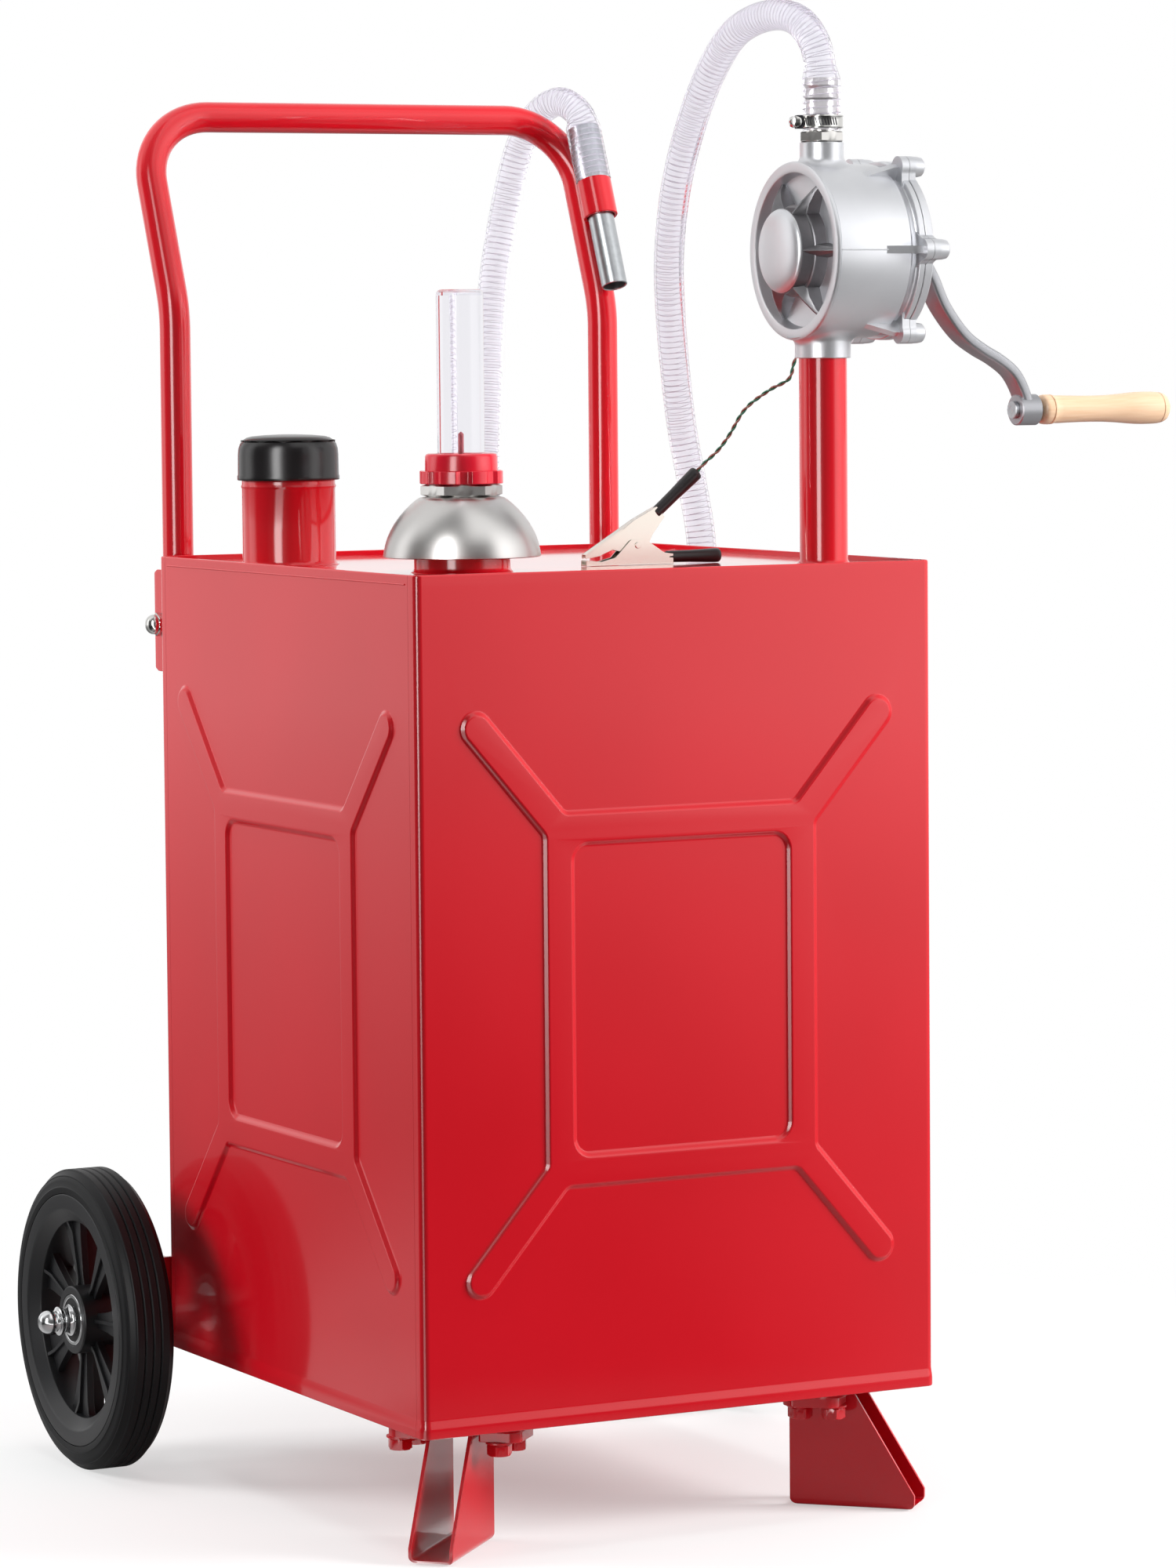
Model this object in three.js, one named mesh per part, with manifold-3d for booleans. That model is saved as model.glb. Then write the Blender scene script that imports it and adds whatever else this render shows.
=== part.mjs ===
// Fuel caddy: a wheeled steel tank with a folded-sheet body, a tubular push handle, a rotary hand pump
// on a riser pipe, a float gauge in a clear tube, a screw cap, a hose with its nozzle and an earth clip.
// Millimetres. +X is the right side seen from the front, +Y points to the back, +Z up from the floor.
import * as THREE from "three";
import { mergeVertices } from "three/addons/utils/BufferGeometryUtils.js";
import Module from "manifold-3d";

const wasm = await Module();
wasm.setup();

// Driving dimensions

const tank = { wide: 450, deep: 476, high: 654, floorGap: 98, cornerRadius: 6, sheet: 2 };
const halfWide = tank.wide / 2;
const halfDeep = tank.deep / 2;
// Heights and cord routes are given from the floor for this tank, and lift moves them with the tank's top.
const drawnTank = { halfWide: 225, halfDeep: 238, top: 752 };
const lift = tank.floorGap + tank.high - drawnTank.top;
const seam = 0.3; // clearance between two pieces that are welded, clamped or stacked
const runningFit = 0.05; // radial clearance of a turning joint

const hem = { proud: 1, topTall: 9, bottomTall: 8, rimAboveTop: 4 };
const fold = { depth: 12 }; // how far the front and rear sheets wrap round to the sides

// Margins of the pressed cross from a wall's edges, to the ring and to the middle of each arm's tip
const emboss = {
  band: 26.5,
  rise: 3,
  slope: 3,
  cornerRadius: 12,
  upright: { ring: 182.5, tip: 117 },
  front: { ring: 105.5, tip: 50 },
  side: { ring: 108, tip: 51 },
};

// How far the axis of each neck and pipe on the top sheet stands in from the nearest walls
const inset = {
  filler: { side: 54, rear: 138 },
  gauge: { side: 100, front: 120 },
  riser: { side: 53, front: 75 },
};
const filler = {
  x: inset.filler.side - halfWide, y: halfDeep - inset.filler.rear,
  outer: 75, wall: 2, top: 845 + lift, below: 8, bead: 1.5, beadHeight: 811 + lift,
};
const cap = {
  outer: 82, taper: 1.2, shoulder: 10, roundTo: 80, crown: 2, play: 0.7,
  bottom: 816 + lift, top: 852.3 + lift,
};
const gasket = { thick: 2.4, bore: 60 };

const gauge = {
  x: inset.gauge.side - halfWide, y: inset.gauge.front - halfDeep,
  neck: 74.5, neckWall: 2, neckTop: 759.4 + lift, below: 8,
};
const dome = { outer: 121, sheet: 1.6, lip: 3, top: 806.3 + lift, flat: 66, hole: 44, height: 56 };
const bush = {
  across: 55, turn: 38.5, bottom: 806.6 + lift, top: 816 + lift,
  spigot: 40, spigotDown: 20, bore: 8,
};
const collar = {
  lowOuter: 65, highOuter: 56, bottom: 816.3 + lift, step: 826.3 + lift, top: 839.6 + lift,
  lugs: 8, lugWide: 9, lugDeep: 2.4,
};
const sight = { outer: 36.7, wall: 2.2, top: 965.6 + lift, foot: 42, footTall: 5 };
const indicator = { rod: 4, tip: 856.5 + lift, footWide: 40, footTall: 19, footThick: 3 };
const arm = { pivotZ: 425, lever: 74, length: 330, low: 40, high: 45, thick: 5, wide: 8, pin: 5, eye: 16 };
const stem = { thick: 3, wide: 18, pivot: 6, foot: 3, neckAbovePivot: 135 };
const float = { radius: 30, length: 90 };

const riser = {
  x: halfWide - inset.riser.side, y: inset.riser.front - halfDeep,
  outer: 38, wall: 2, top: 917 + lift, below: 8,
};
const suction = { outer: 26, wall: 2, fromFloor: 112, top: 925 + lift };

// The pump and its crank are measured across from the riser's axis, and the crank down from the shaft.
const pump = { z: 994 + lift, bodyRadius: 67, wall: 5, face: -23, flange: 53 };
const inlet = { outer: 44, bottom: 910 + lift, socket: 8 };
const outlet = { outer: 34.6, top: 1079 + lift, bore: 20 };
const cover = {
  rim: 70.5, rimInner: 60, rimFace: -26, web: -16, boss: 33, bossFace: -44, ribs: 6, ribThick: 3.6,
  step: { radius: 38, face: -34 },
};
const endPlate = {
  radius: 70, thick: 7, boss: 20, bossFace: 67,
  lugs: 6, lugCircle: 75, lugRadius: 8.3, lugFront: 12, lugBack: 8,
};
const gusset = { thick: 6, reach: 30, drop: 6 }; // web that props each lug against the pump's body
const rotor = { radius: 46, shaft: 16, play: 1, vanes: 4, vaneThick: 4.4 };

const crank = {
  hubRadius: 15, hubStart: 68.5, hubEnd: 90, thick: 9, wideTop: 26, wideEnd: 19,
  bossRadius: 12.5, bossX: 187.8, bossZ: -127.3, bossHalf: 9.5,
};
const crankLine = [
  [79, 0], [89, -10], [96.7, -22], [107.5, -43.7], [127.1, -67.5],
  [144, -78.9], [158.7, -86.6], [173.4, -97.4], [182.2, -111.3], [187.8, -127.3],
]; // middle of the bent crank bar seen from the front, from the shaft down to the grip
const grip = { pin: 8, headRadius: 7, headThick: 3, start: 200.8, end: 321.3 };
const gripShape = [
  { share: 0, radius: 9.5 }, { share: 0.02, radius: 11.8 }, { share: 0.08, radius: 12 },
  { share: 0.1, radius: 11.2 }, { share: 0.42, radius: 10.6 }, { share: 0.74, radius: 13 },
  { share: 0.82, radius: 13.2 }, { share: 0.96, radius: 12.6 }, { share: 1, radius: 9.4 },
]; // share of the grip's length

const fitting = { across: 31, hexTall: 8, barb: 20, barbTall: 42, ridge: 1.4, bore: 15 };
const clamp = { bottom: 1090 + lift, tall: 10, thick: 1, screwRadius: 4.5, screwLength: 18 };

const handle = {
  outer: 25.4, wall: 1.6, fromSide: 26, fromRear: 19.5, low: 646 + lift, kneeHeight: 953 + lift,
  lean: 22, leanLength: 173, corner: 60, kneeRadius: 90,
};
const handleSpan = halfWide - handle.fromSide; // from the middle to the axis of each leg
const handleBack = halfDeep + handle.fromRear;
const bracket = {
  low: 656 + lift, high: 740 + lift, plate: 3, inner: 13.1, corner: 10,
  boltHeight: 695 + lift, bolt: 10,
};
const acornNut = { across: 17, hexTall: 5, domeRadius: 8.2 };
const holster = { inner: 12.1, outer: 14.7, length: 33, aboveKnee: 88 };
const nozzle = { outer: 22, wall: 1.5, below: 80, above: 66 };

const wheel = { radius: 124, wide: 44, fromSide: 61, axleBehind: 16 };
const wheelX = halfWide + wheel.fromSide;
const tyre = { seat: 100, shoulder: 8, grooves: 3, grooveWide: 2.4, grooveDeep: 1.6 };
const rim = { opening: 81, flange: 104, flangeThick: 3, barrelWall: 5, spokes: 7, spokeRoot: 15, spokeTip: 25,
  spokeThick: 6, ribThick: 3, ribDeep: 24, throatHalf: 14, hub: 28, hubHalf: 20, firstSpoke: 107 };
const bearing = { outer: 21, inner: 12, wide: 9, groove: 1.4 };
const axle = { radius: 8, intoNut: 13.4 };
const spacer = { outer: 12 };
const axleNut = {
  across: 24, hexTall: 10, domeRadius: 10, domeFrom: 30, tall: 26.4, washer: 13, washerThick: 2,
};
const axlePlate = { fromSide: 11, half: 16, plate: 4, low: 108, high: 172, corner: 12 };

const leg = {
  plate: 3, outerHalf: 18, bend: 6, inner: 114, outer: 12, topLength: 50,
  earReach: 37, earThick: 4, earCorner: 12,
};

const hose = {
  outer: 25, wall: 3, stretched: 30, ring: 8, steps: 28, endSteps: 10, taper: 9, straight: 10, endLong: 400,
};
// From the pump's outlet down the right side, round behind the tank and up over the handle to the nozzle
const hoseRoute = [
  [172, -163, 1088.5], [172, -163, 1125], [170, -159, 1153], [169, -138, 1173], [169, -98, 1182],
  [170, -32, 1172], [172, 17, 1140], [175, 63, 1087], [178, 89, 1043], [187, 116, 992],
  [200, 138, 947], [215, 157, 894],
  [227, 168, 848], [237, 169, 801], [245, 169, 753], [249, 178, 690], [250, 205, 605], [238, 258, 510],
  [222, 276, 425], [210, 280, 330], [185, 280, 245], [125, 280, 188], [50, 282, 192], [8, 286, 265],
  [10, 294, 380], [50, 304, 520], [93, 318, 650], [123, 335, 753], [133, 352, 813], [144, 368, 881],
  [153, 380, 938], [161, 387, 982], [171, 390, 1027], [178, 387, 1063], [183, 377, 1094], [189, 361, 1117],
  [193, 340, 1128], [196, 318, 1129],
];

const lead = { outer: 3.2, ring: 8, steps: 18, lugRadius: 5, lugOut: 27, lugZ: 918 + lift };
const leadRoute = [
  [172, -135.7, 918], [171, -129, 917], [167, -126, 906], [161, -129, 894], [147, -122, 885],
  [132, -109, 870],
  [122, -100, 849], [115, -94, 837], [106, -90, 828], [99, -88, 820.5],
];
// Side views of the clip's halves, from the pivot: the lower half's heights start at its underside
const clip = {
  y: -88, pivot: { x: 43, z: 763.7 + lift }, halfWide: 4.6, sheet: 0.9, pin: 1.6,
  sleeve: 5.4, sleeveLength: 40,
  lowerGrip: 28, upperGrip: { x: 18, z: 24.5 }, upperTilt: 40,
  lowerSide: [[-46, 0], [32, 0], [32, 8], [24, 9], [7, 20, 4], [-6, 20, 4], [-20, 6], [-34, 3], [-46, 4.5]],
  upperSide: [
    [-46, -9.5], [-34, -7.5], [-22, -3], [-8, -6, 3], [7, -6, 3], [14, 8], [25, 22], [18, 30],
    [-2, 20], [-46, -6.5],
  ],
  upperHollow: [[-40, -20], [30, -20], [30, 10], [13, 22], [0, 18], [-40, -6]],
};

// Facets

const facets = { wheel: 24, large: 18, medium: 12, small: 8, tiny: 6, arc: 3, fillet: 2, knee: 2, corner: 3 };

// Shapes

const degrees = Math.PI / 180;
const V2 = (x, y) => new THREE.Vector2(x, y);
const V3 = (x, y, z) => new THREE.Vector3(x, y, z);

// A closed outline from its corners, each [x, y] or [x, y, radius]. A corner with a radius becomes an arc.
function outline(corners) {
  const shape = new THREE.Shape();
  corners.forEach(([x, y, radius], i) => {
    const here = V2(x, y);
    if (!radius) {
      if (i) shape.lineTo(x, y);
      else shape.moveTo(x, y);
      return;
    }
    const before = V2(...corners[(i + corners.length - 1) % corners.length]).sub(here).normalize();
    const after = V2(...corners[(i + 1) % corners.length]).sub(here).normalize();
    const halfAngle = Math.acos(before.dot(after)) / 2;
    const start = here.clone().addScaledVector(before, radius / Math.tan(halfAngle));
    const inwards = before.clone().add(after).normalize();
    const centre = here.clone().addScaledVector(inwards, radius / Math.sin(halfAngle));
    const end = here.clone().addScaledVector(after, radius / Math.tan(halfAngle));
    if (i) shape.lineTo(start.x, start.y);
    else shape.moveTo(start.x, start.y);
    const from = start.sub(centre).angle();
    const to = end.sub(centre).angle();
    shape.absarc(centre.x, centre.y, radius, from, to, before.cross(after) > 0);
  });
  shape.closePath();
  return shape;
}

function rectangle(x0, x1, y0, y1, radius = 0) {
  return outline([[x0, y0, radius], [x1, y0, radius], [x1, y1, radius], [x0, y1, radius]]);
}

function hexagon(across) {
  const reach = across / Math.sqrt(3);
  return outline([0, 1, 2, 3, 4, 5].map((k) => [
    reach * Math.cos((k * Math.PI) / 3), reach * Math.sin((k * Math.PI) / 3),
  ]));
}

// Prisms: the shape is drawn looking along the axis that it is pushed through.

function prismZ(shape, z0, z1, curveSegments = facets.arc) {
  const flat = new THREE.ExtrudeGeometry(shape, { depth: z1 - z0, bevelEnabled: false, curveSegments });
  return flat.translate(0, 0, z0);
}

// Drawn in x and z, seen from the front.
function prismY(shape, y0, y1, curveSegments = facets.arc) {
  const depth = y1 - y0;
  const flat = new THREE.ExtrudeGeometry(shape, { depth, bevelEnabled: false, curveSegments });
  return flat.rotateX(Math.PI / 2).translate(0, y1, 0);
}

// Drawn in y and z, seen from the right.
function prismX(shape, x0, x1, curveSegments = facets.arc) {
  const flat = new THREE.ExtrudeGeometry(shape, { depth: x1 - x0, bevelEnabled: false, curveSegments });
  return flat.applyMatrix4(new THREE.Matrix4().set(0, 0, 1, x0, 1, 0, 0, 0, 0, 1, 0, 0, 0, 0, 0, 1));
}

function box(x0, x1, y0, y1, z0, z1) {
  const block = new THREE.BoxGeometry(x1 - x0, y1 - y0, z1 - z0);
  return block.translate((x0 + x1) / 2, (y0 + y1) / 2, (z0 + z1) / 2);
}

// Revolves: the profile is a list of [radius, height], closed by itself or by the axis.
function turned(profile, segments = facets.medium) {
  const points = profile.map(([r, h]) => V2(r, h));
  if (THREE.ShapeUtils.area(points) < 0) points.reverse();
  if (points[0].x > 0 || points.at(-1).x > 0) points.push(points[0].clone());
  return new THREE.LatheGeometry(points, segments);
}
const turnedZ = (profile, segments) => turned(profile, segments).rotateX(Math.PI / 2);
const turnedX = (profile, segments) => turned(profile, segments).rotateZ(-Math.PI / 2);
const turnedY = (profile, segments) => turned(profile, segments);

// A bore whose flats, not its corners, clear a round pin of the radius given.
const boreFor = (radius, clearance, segments) => (radius + clearance) / Math.cos(Math.PI / segments);
const rodProfile = (radius, h0, h1) => [[0, h0], [radius, h0], [radius, h1], [0, h1]];
const pipeProfile = (outer, inner, h0, h1) => [[inner, h0], [outer, h0], [outer, h1], [inner, h1]];
const rodZ = (radius, z0, z1, x, y, segments) =>
  turnedZ(rodProfile(radius, z0, z1), segments).translate(x, y, 0);
const rodX = (radius, x0, x1, y, z, segments) =>
  turnedX(rodProfile(radius, x0, x1), segments).translate(0, y, z);
const rodY = (radius, y0, y1, x, z, segments) =>
  turnedY(rodProfile(radius, y0, y1), segments).translate(x, 0, z);

// A sweep passes through stations, each a place and the direction of travel there.
class Route extends THREE.Curve {
  constructor(stations) {
    super();
    this.stations = stations;
  }
  getSpacedPoints() {
    return this.stations.map(({ place }) => place.clone());
  }
  getTangentAt(share) {
    return this.stations[Math.round(share * (this.stations.length - 1))].along.clone();
  }
}

// Straight runs between the given places, with a round bend at each inner one.
function bentRoute(places, bends) {
  const stations = [];
  places.forEach((place, i) => {
    const isEnd = i === 0 || i === places.length - 1;
    if (isEnd) {
      const along = i === 0 ? places[1].clone().sub(place) : place.clone().sub(places[i - 1]);
      stations.push({ place, along: along.normalize() });
      return;
    }
    const { radius, chords } = bends[i - 1];
    const into = place.clone().sub(places[i - 1]).normalize();
    const out = places[i + 1].clone().sub(place).normalize();
    const turn = into.angleTo(out);
    const towards = out.clone().addScaledVector(into, -into.dot(out)).normalize();
    const start = place.clone().addScaledVector(into, -radius * Math.tan(turn / 2));
    const centre = start.addScaledVector(towards, radius);
    for (let k = 0; k <= chords; k++) {
      const a = (turn * k) / chords;
      const along = into.clone().multiplyScalar(Math.cos(a)).addScaledVector(towards, Math.sin(a));
      const away = into.clone().multiplyScalar(Math.sin(a)).addScaledVector(towards, -Math.cos(a));
      stations.push({ place: centre.clone().addScaledVector(away, radius), along });
    }
  });
  return new Route(stations);
}

function smoothRoute(points) {
  return new THREE.CatmullRomCurve3(points, false, "centripetal");
}

function stationsAt(curve, lengths) {
  const whole = curve.getLength();
  return new Route(lengths.map((length) => ({
    place: curve.getPointAt(length / whole), along: curve.getTangentAt(length / whole),
  })));
}

// A tube or bar of round section along a route. The radii are given for each station, and a bar has no
// inner radius.
function tubeAlong(route, steps, sides, outer, inner) {
  const places = route.getSpacedPoints(steps);
  const { normals, binormals } = route.computeFrenetFrames(steps);
  const points = [];
  const faces = [];
  const skin = (radiusAt) => {
    const first = points.length;
    places.forEach((place, i) => {
      for (let k = 0; k < sides; k++) {
        const a = (k * 2 * Math.PI) / sides;
        const out = normals[i].clone().multiplyScalar(Math.cos(a)).addScaledVector(binormals[i], Math.sin(a));
        points.push(place.clone().addScaledVector(out, radiusAt(i)));
      }
    });
    return (i, k) => first + i * sides + (k % sides);
  };
  const quad = (a, b, c, d) => faces.push(a, b, c, a, c, d);
  const outside = skin(outer);
  const inside = inner && skin(inner);
  const middle = (place) => points.push(place) - 1;
  const starts = inner ? null : [middle(places[0]), middle(places.at(-1))];
  for (let k = 0; k < sides; k++) {
    for (let i = 0; i < steps; i++) {
      quad(outside(i, k), outside(i, k + 1), outside(i + 1, k + 1), outside(i + 1, k));
      if (inside) quad(inside(i, k), inside(i + 1, k), inside(i + 1, k + 1), inside(i, k + 1));
    }
    if (inside) {
      quad(outside(0, k), inside(0, k), inside(0, k + 1), outside(0, k + 1));
      quad(outside(steps, k), outside(steps, k + 1), inside(steps, k + 1), inside(steps, k));
    } else {
      faces.push(starts[0], outside(0, k + 1), outside(0, k));
      faces.push(starts[1], outside(steps, k), outside(steps, k + 1));
    }
  }
  return new THREE.BufferGeometry().setFromPoints(points).setIndex(faces);
}

// Solids joined, cut and shared

function solidOf(geometry) {
  const bare = new THREE.BufferGeometry().setAttribute("position", geometry.getAttribute("position"));
  if (geometry.index) bare.setIndex(geometry.index);
  const merged = mergeVertices(bare);
  return new wasm.Manifold(new wasm.Mesh({
    numProp: 3,
    vertProperties: merged.attributes.position.array,
    triVerts: new Uint32Array(merged.index.array),
  }));
}

function geometryOf(solid) {
  const { vertProperties, triVerts } = solid.getMesh();
  return new THREE.BufferGeometry()
    .setAttribute("position", new THREE.BufferAttribute(new Float32Array(vertProperties), 3))
    .setIndex(new THREE.BufferAttribute(new Uint32Array(triVerts), 1));
}

const join = (...pieces) => geometryOf(pieces.map(solidOf).reduce((a, b) => a.add(b)));
const cut = (body, ...tools) => geometryOf(tools.map(solidOf).reduce((a, b) => a.subtract(b), solidOf(body)));
const shared = (a, b) => geometryOf(solidOf(a).intersect(solidOf(b)));

// Named pieces

const group = new THREE.Group();
const finishes = {
  redPaint: { color: 0xc8202a, roughness: 0.28, metalness: 0 },
  blackPlastic: { color: 0x1e1c1d, roughness: 0.45, metalness: 0 },
  redPlastic: { color: 0xd0122b, roughness: 0.3, metalness: 0 },
  castAluminium: { color: 0xc9cacc, roughness: 0.42, metalness: 0.9 },
  brightSteel: { color: 0xd4d4d2, roughness: 0.22, metalness: 1 },
  zinc: { color: 0xb9bdc0, roughness: 0.35, metalness: 1 },
  tyreRubber: { color: 0x1a1a1b, roughness: 0.75, metalness: 0 },
  rubber: { color: 0x222222, roughness: 0.6, metalness: 0 },
  wood: { color: 0xe6c79a, roughness: 0.5, metalness: 0 },
  clearPlastic: { color: 0xe9e6ee, roughness: 0.1, metalness: 0 },
  clearHose: { color: 0xdcd6e4, roughness: 0.2, metalness: 0 },
  leadCover: { color: 0x3c6b58, roughness: 0.5, metalness: 0 },
};
const materials = Object.fromEntries(
  Object.entries(finishes).map(([name, look]) => [name, new THREE.MeshStandardMaterial(look)]),
);

function piece(name, finish, geometry) {
  const mesh = new THREE.Mesh(geometry, materials[finish]);
  mesh.name = name;
  group.add(mesh);
}

const sides = [{ side: "left", sign: -1 }, { side: "right", sign: 1 }];

// Tank

const tankBottom = tank.floorGap;
const tankTop = tank.floorGap + tank.high;
const tankMiddle = (tankBottom + tankTop) / 2;
const topSheetTop = tankTop - hem.rimAboveTop;
const topSheetBottom = topSheetTop - tank.sheet;
const tankBack = halfDeep + seam;

// The pressed cross on each wall: a ring of one band's width, with an arm running out from each corner.
function embossOutline(margin, halfWall) {
  const halfBand = emboss.band / 2;
  const ring = V2(halfWall - margin.ring, tank.high / 2 - emboss.upright.ring);
  const tip = V2(halfWall - margin.tip, tank.high / 2 - emboss.upright.tip);
  const root = V2(ring.x - halfBand, ring.y - halfBand);
  const along = tip.clone().sub(root).normalize();
  const across = V2(along.y, -along.x);
  const lowStart = root.clone().addScaledVector(across, halfBand);
  lowStart.addScaledVector(along, (ring.x - lowStart.x) / along.x);
  const highStart = root.clone().addScaledVector(across, -halfBand);
  highStart.addScaledVector(along, (ring.y - highStart.y) / along.y);
  const quarter = [lowStart];
  const arcSteps = facets.arc + 1;
  for (let k = 0; k <= arcSteps; k++) {
    const a = (Math.PI * k) / arcSteps;
    const rim = tip.clone().addScaledVector(across, halfBand * Math.cos(a));
    quarter.push(rim.addScaledVector(along, halfBand * Math.sin(a)));
  }
  quarter.push(highStart);
  const mirrored = (signX, signY) => {
    const points = quarter.map((p) => V2(p.x * signX, p.y * signY));
    return signX * signY > 0 ? points : points.reverse();
  };
  const quarters = [[1, 1], [-1, 1], [-1, -1], [1, -1]];
  const shape = new THREE.Shape(quarters.flatMap(([signX, signY]) => mirrored(signX, signY)));
  const innerX = ring.x - emboss.band;
  const innerY = ring.y - emboss.band;
  shape.holes.push(rectangle(-innerX, innerX, -innerY, innerY, emboss.cornerRadius));
  return shape;
}

// A wall that faces the front at the depth given gets the cross raised outside and hollow inside.
function pressedWall(wall, margin, halfWall, depth) {
  const form = (back) => {
    const raised = new THREE.ExtrudeGeometry(embossOutline(margin, halfWall), {
      depth: seam, curveSegments: facets.fillet, bevelEnabled: true, bevelSegments: 1,
      bevelThickness: emboss.rise, bevelSize: emboss.slope, bevelOffset: -emboss.slope,
    });
    return raised.rotateX(Math.PI / 2).translate(0, back + seam, tankMiddle);
  };
  const slab = (front, back) => box(-tank.wide, tank.wide, front, back, tankBottom, tankTop);
  const reach = -depth - emboss.rise * 2;
  const raised = shared(form(-depth), slab(reach, -depth + tank.sheet / 2));
  const hollow = shared(form(-depth + tank.sheet), slab(reach, -depth + tank.sheet * 2));
  return cut(join(wall, raised), hollow);
}

// Front or rear sheet in plan: flat, with a round bend down each side.
function wrappedPlan(proud) {
  const x = halfWide + proud;
  const front = -halfDeep - proud;
  const back = -halfDeep + fold.depth;
  const innerX = halfWide - tank.sheet;
  const inner = -halfDeep + tank.sheet;
  const innerRadius = tank.cornerRadius - tank.sheet;
  return outline([
    [-x, front, tank.cornerRadius + proud], [x, front, tank.cornerRadius + proud], [x, back], [innerX, back],
    [innerX, inner, innerRadius], [-innerX, inner, innerRadius], [-innerX, back], [-x, back],
  ]);
}

function hemmedWall(planAt) {
  const body = prismZ(planAt(0), tankBottom, tankTop);
  const topHem = prismZ(planAt(hem.proud), tankTop - hem.topTall, tankTop);
  const bottomHem = prismZ(planAt(hem.proud), tankBottom, tankBottom + hem.bottomTall);
  return join(body, topHem, bottomHem);
}

function flatPlan(proud) {
  const half = halfDeep - fold.depth - seam;
  return rectangle(-half, half, -halfWide - proud, -halfWide + tank.sheet);
}

const endWall = pressedWall(hemmedWall(wrappedPlan), emboss.front, halfWide, halfDeep);
const sideWall = pressedWall(hemmedWall(flatPlan), emboss.side, halfDeep, halfWide);
piece("tank_front", "redPaint", endWall.clone());
piece("tank_rear", "redPaint", endWall.clone().rotateZ(Math.PI));
piece("tank_right", "redPaint", sideWall.clone().rotateZ(Math.PI / 2));
piece("tank_left", "redPaint", sideWall.clone().rotateZ(-Math.PI / 2));

const insetX = halfWide - tank.sheet - seam;
const insetY = halfDeep - tank.sheet - seam;
const sheetPlan = rectangle(-insetX, insetX, -insetY, insetY, tank.cornerRadius);
const neckHole = ({ x, y }, radius, segments) =>
  rodZ(radius + seam, topSheetBottom - tank.sheet, topSheetTop + tank.sheet, x, y, segments);
piece("tank_top", "redPaint", cut(
  prismZ(sheetPlan, topSheetBottom, topSheetTop),
  neckHole(filler, filler.outer / 2, facets.large),
  neckHole(gauge, gauge.neck / 2, facets.large),
  neckHole(riser, riser.outer / 2, facets.medium),
));
piece("tank_bottom", "redPaint", prismZ(sheetPlan, tankBottom, tankBottom + tank.sheet));

const at = (place, geometry) => geometry.translate(place.x, place.y, 0);
const fillerOuter = filler.outer / 2;
const fillerInner = fillerOuter - filler.wall;
const fillerLow = topSheetBottom - filler.below;
piece("filler_neck", "redPaint", at(filler, turnedZ([
  [fillerInner, fillerLow], [fillerOuter, fillerLow], [fillerOuter, filler.beadHeight - filler.bead],
  [fillerOuter + filler.bead / 2, filler.beadHeight], [fillerOuter, filler.beadHeight + filler.bead],
  [fillerOuter, filler.top], [fillerInner, filler.top],
], facets.large)));
const gaugeOuter = gauge.neck / 2;
const gaugeInner = gaugeOuter - gauge.neckWall;
piece("gauge_neck", "redPaint", at(gauge,
  turnedZ(pipeProfile(gaugeOuter, gaugeInner, topSheetBottom - gauge.below, gauge.neckTop), facets.large)));
const riserOuter = riser.outer / 2;
const riserLow = topSheetBottom - riser.below;
piece("riser_pipe", "redPaint", at(riser,
  turnedZ(pipeProfile(riserOuter, riserOuter - riser.wall, riserLow, riser.top), facets.medium)));
const suctionOuter = suction.outer / 2;
const suctionInner = suctionOuter - suction.wall;
piece("suction_tube", "zinc", at(riser,
  turnedZ(pipeProfile(suctionOuter, suctionInner, suction.fromFloor, suction.top), facets.medium)));

// Filler cap

const arcProfile = (centreR, centreZ, radius, from, to, steps) => [...Array(steps + 1).keys()].map((k) => {
  const a = (from + ((to - from) * k) / steps) * degrees;
  return [centreR + radius * Math.cos(a), centreZ + radius * Math.sin(a)];
});
const capOuter = cap.outer / 2;
const capInner = fillerOuter + cap.play;
const shoulderR = capOuter - cap.taper - cap.shoulder;
const shoulderZ = cap.top - cap.crown - cap.shoulder;
const gasketLow = filler.top + seam;
const ceiling = gasketLow + gasket.thick + seam;
piece("filler_cap", "blackPlastic", at(filler, turnedZ([
  [capInner, cap.bottom], [capOuter, cap.bottom],
  ...arcProfile(shoulderR, shoulderZ, cap.shoulder, 0, cap.roundTo, facets.arc),
  [capOuter / 2, cap.top - cap.crown / 4], [0, cap.top], [0, ceiling], [capInner, ceiling],
], facets.large)));
piece("cap_gasket", "rubber", at(filler, turnedZ(
  pipeProfile(capInner - seam, gasket.bore / 2, gasketLow, gasketLow + gasket.thick), facets.medium)));

// Gauge

const domeBottom = gauge.neckTop + seam;
const domeRadius = dome.outer / 2;
const flatRadius = dome.flat / 2;
const domeLine = (inset) => {
  const radius = domeRadius - inset;
  const height = dome.height - inset;
  const from = Math.asin(dome.lip / height) / degrees;
  const to = Math.asin((dome.top - inset - domeBottom) / height) / degrees;
  return [...Array(facets.arc + 2).keys()].map((k) => {
    const a = (from + ((to - from) * k) / (facets.arc + 1)) * degrees;
    return [radius * Math.cos(a), domeBottom + height * Math.sin(a)];
  });
};
piece("gauge_dome", "brightSteel", at(gauge, turnedZ([
  [gaugeInner, domeBottom], [domeRadius, domeBottom], ...domeLine(0), [dome.hole / 2, dome.top],
  [dome.hole / 2, dome.top - dome.sheet], ...domeLine(dome.sheet).reverse(),
  [gaugeInner, domeBottom + dome.sheet],
], facets.large)));

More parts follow.
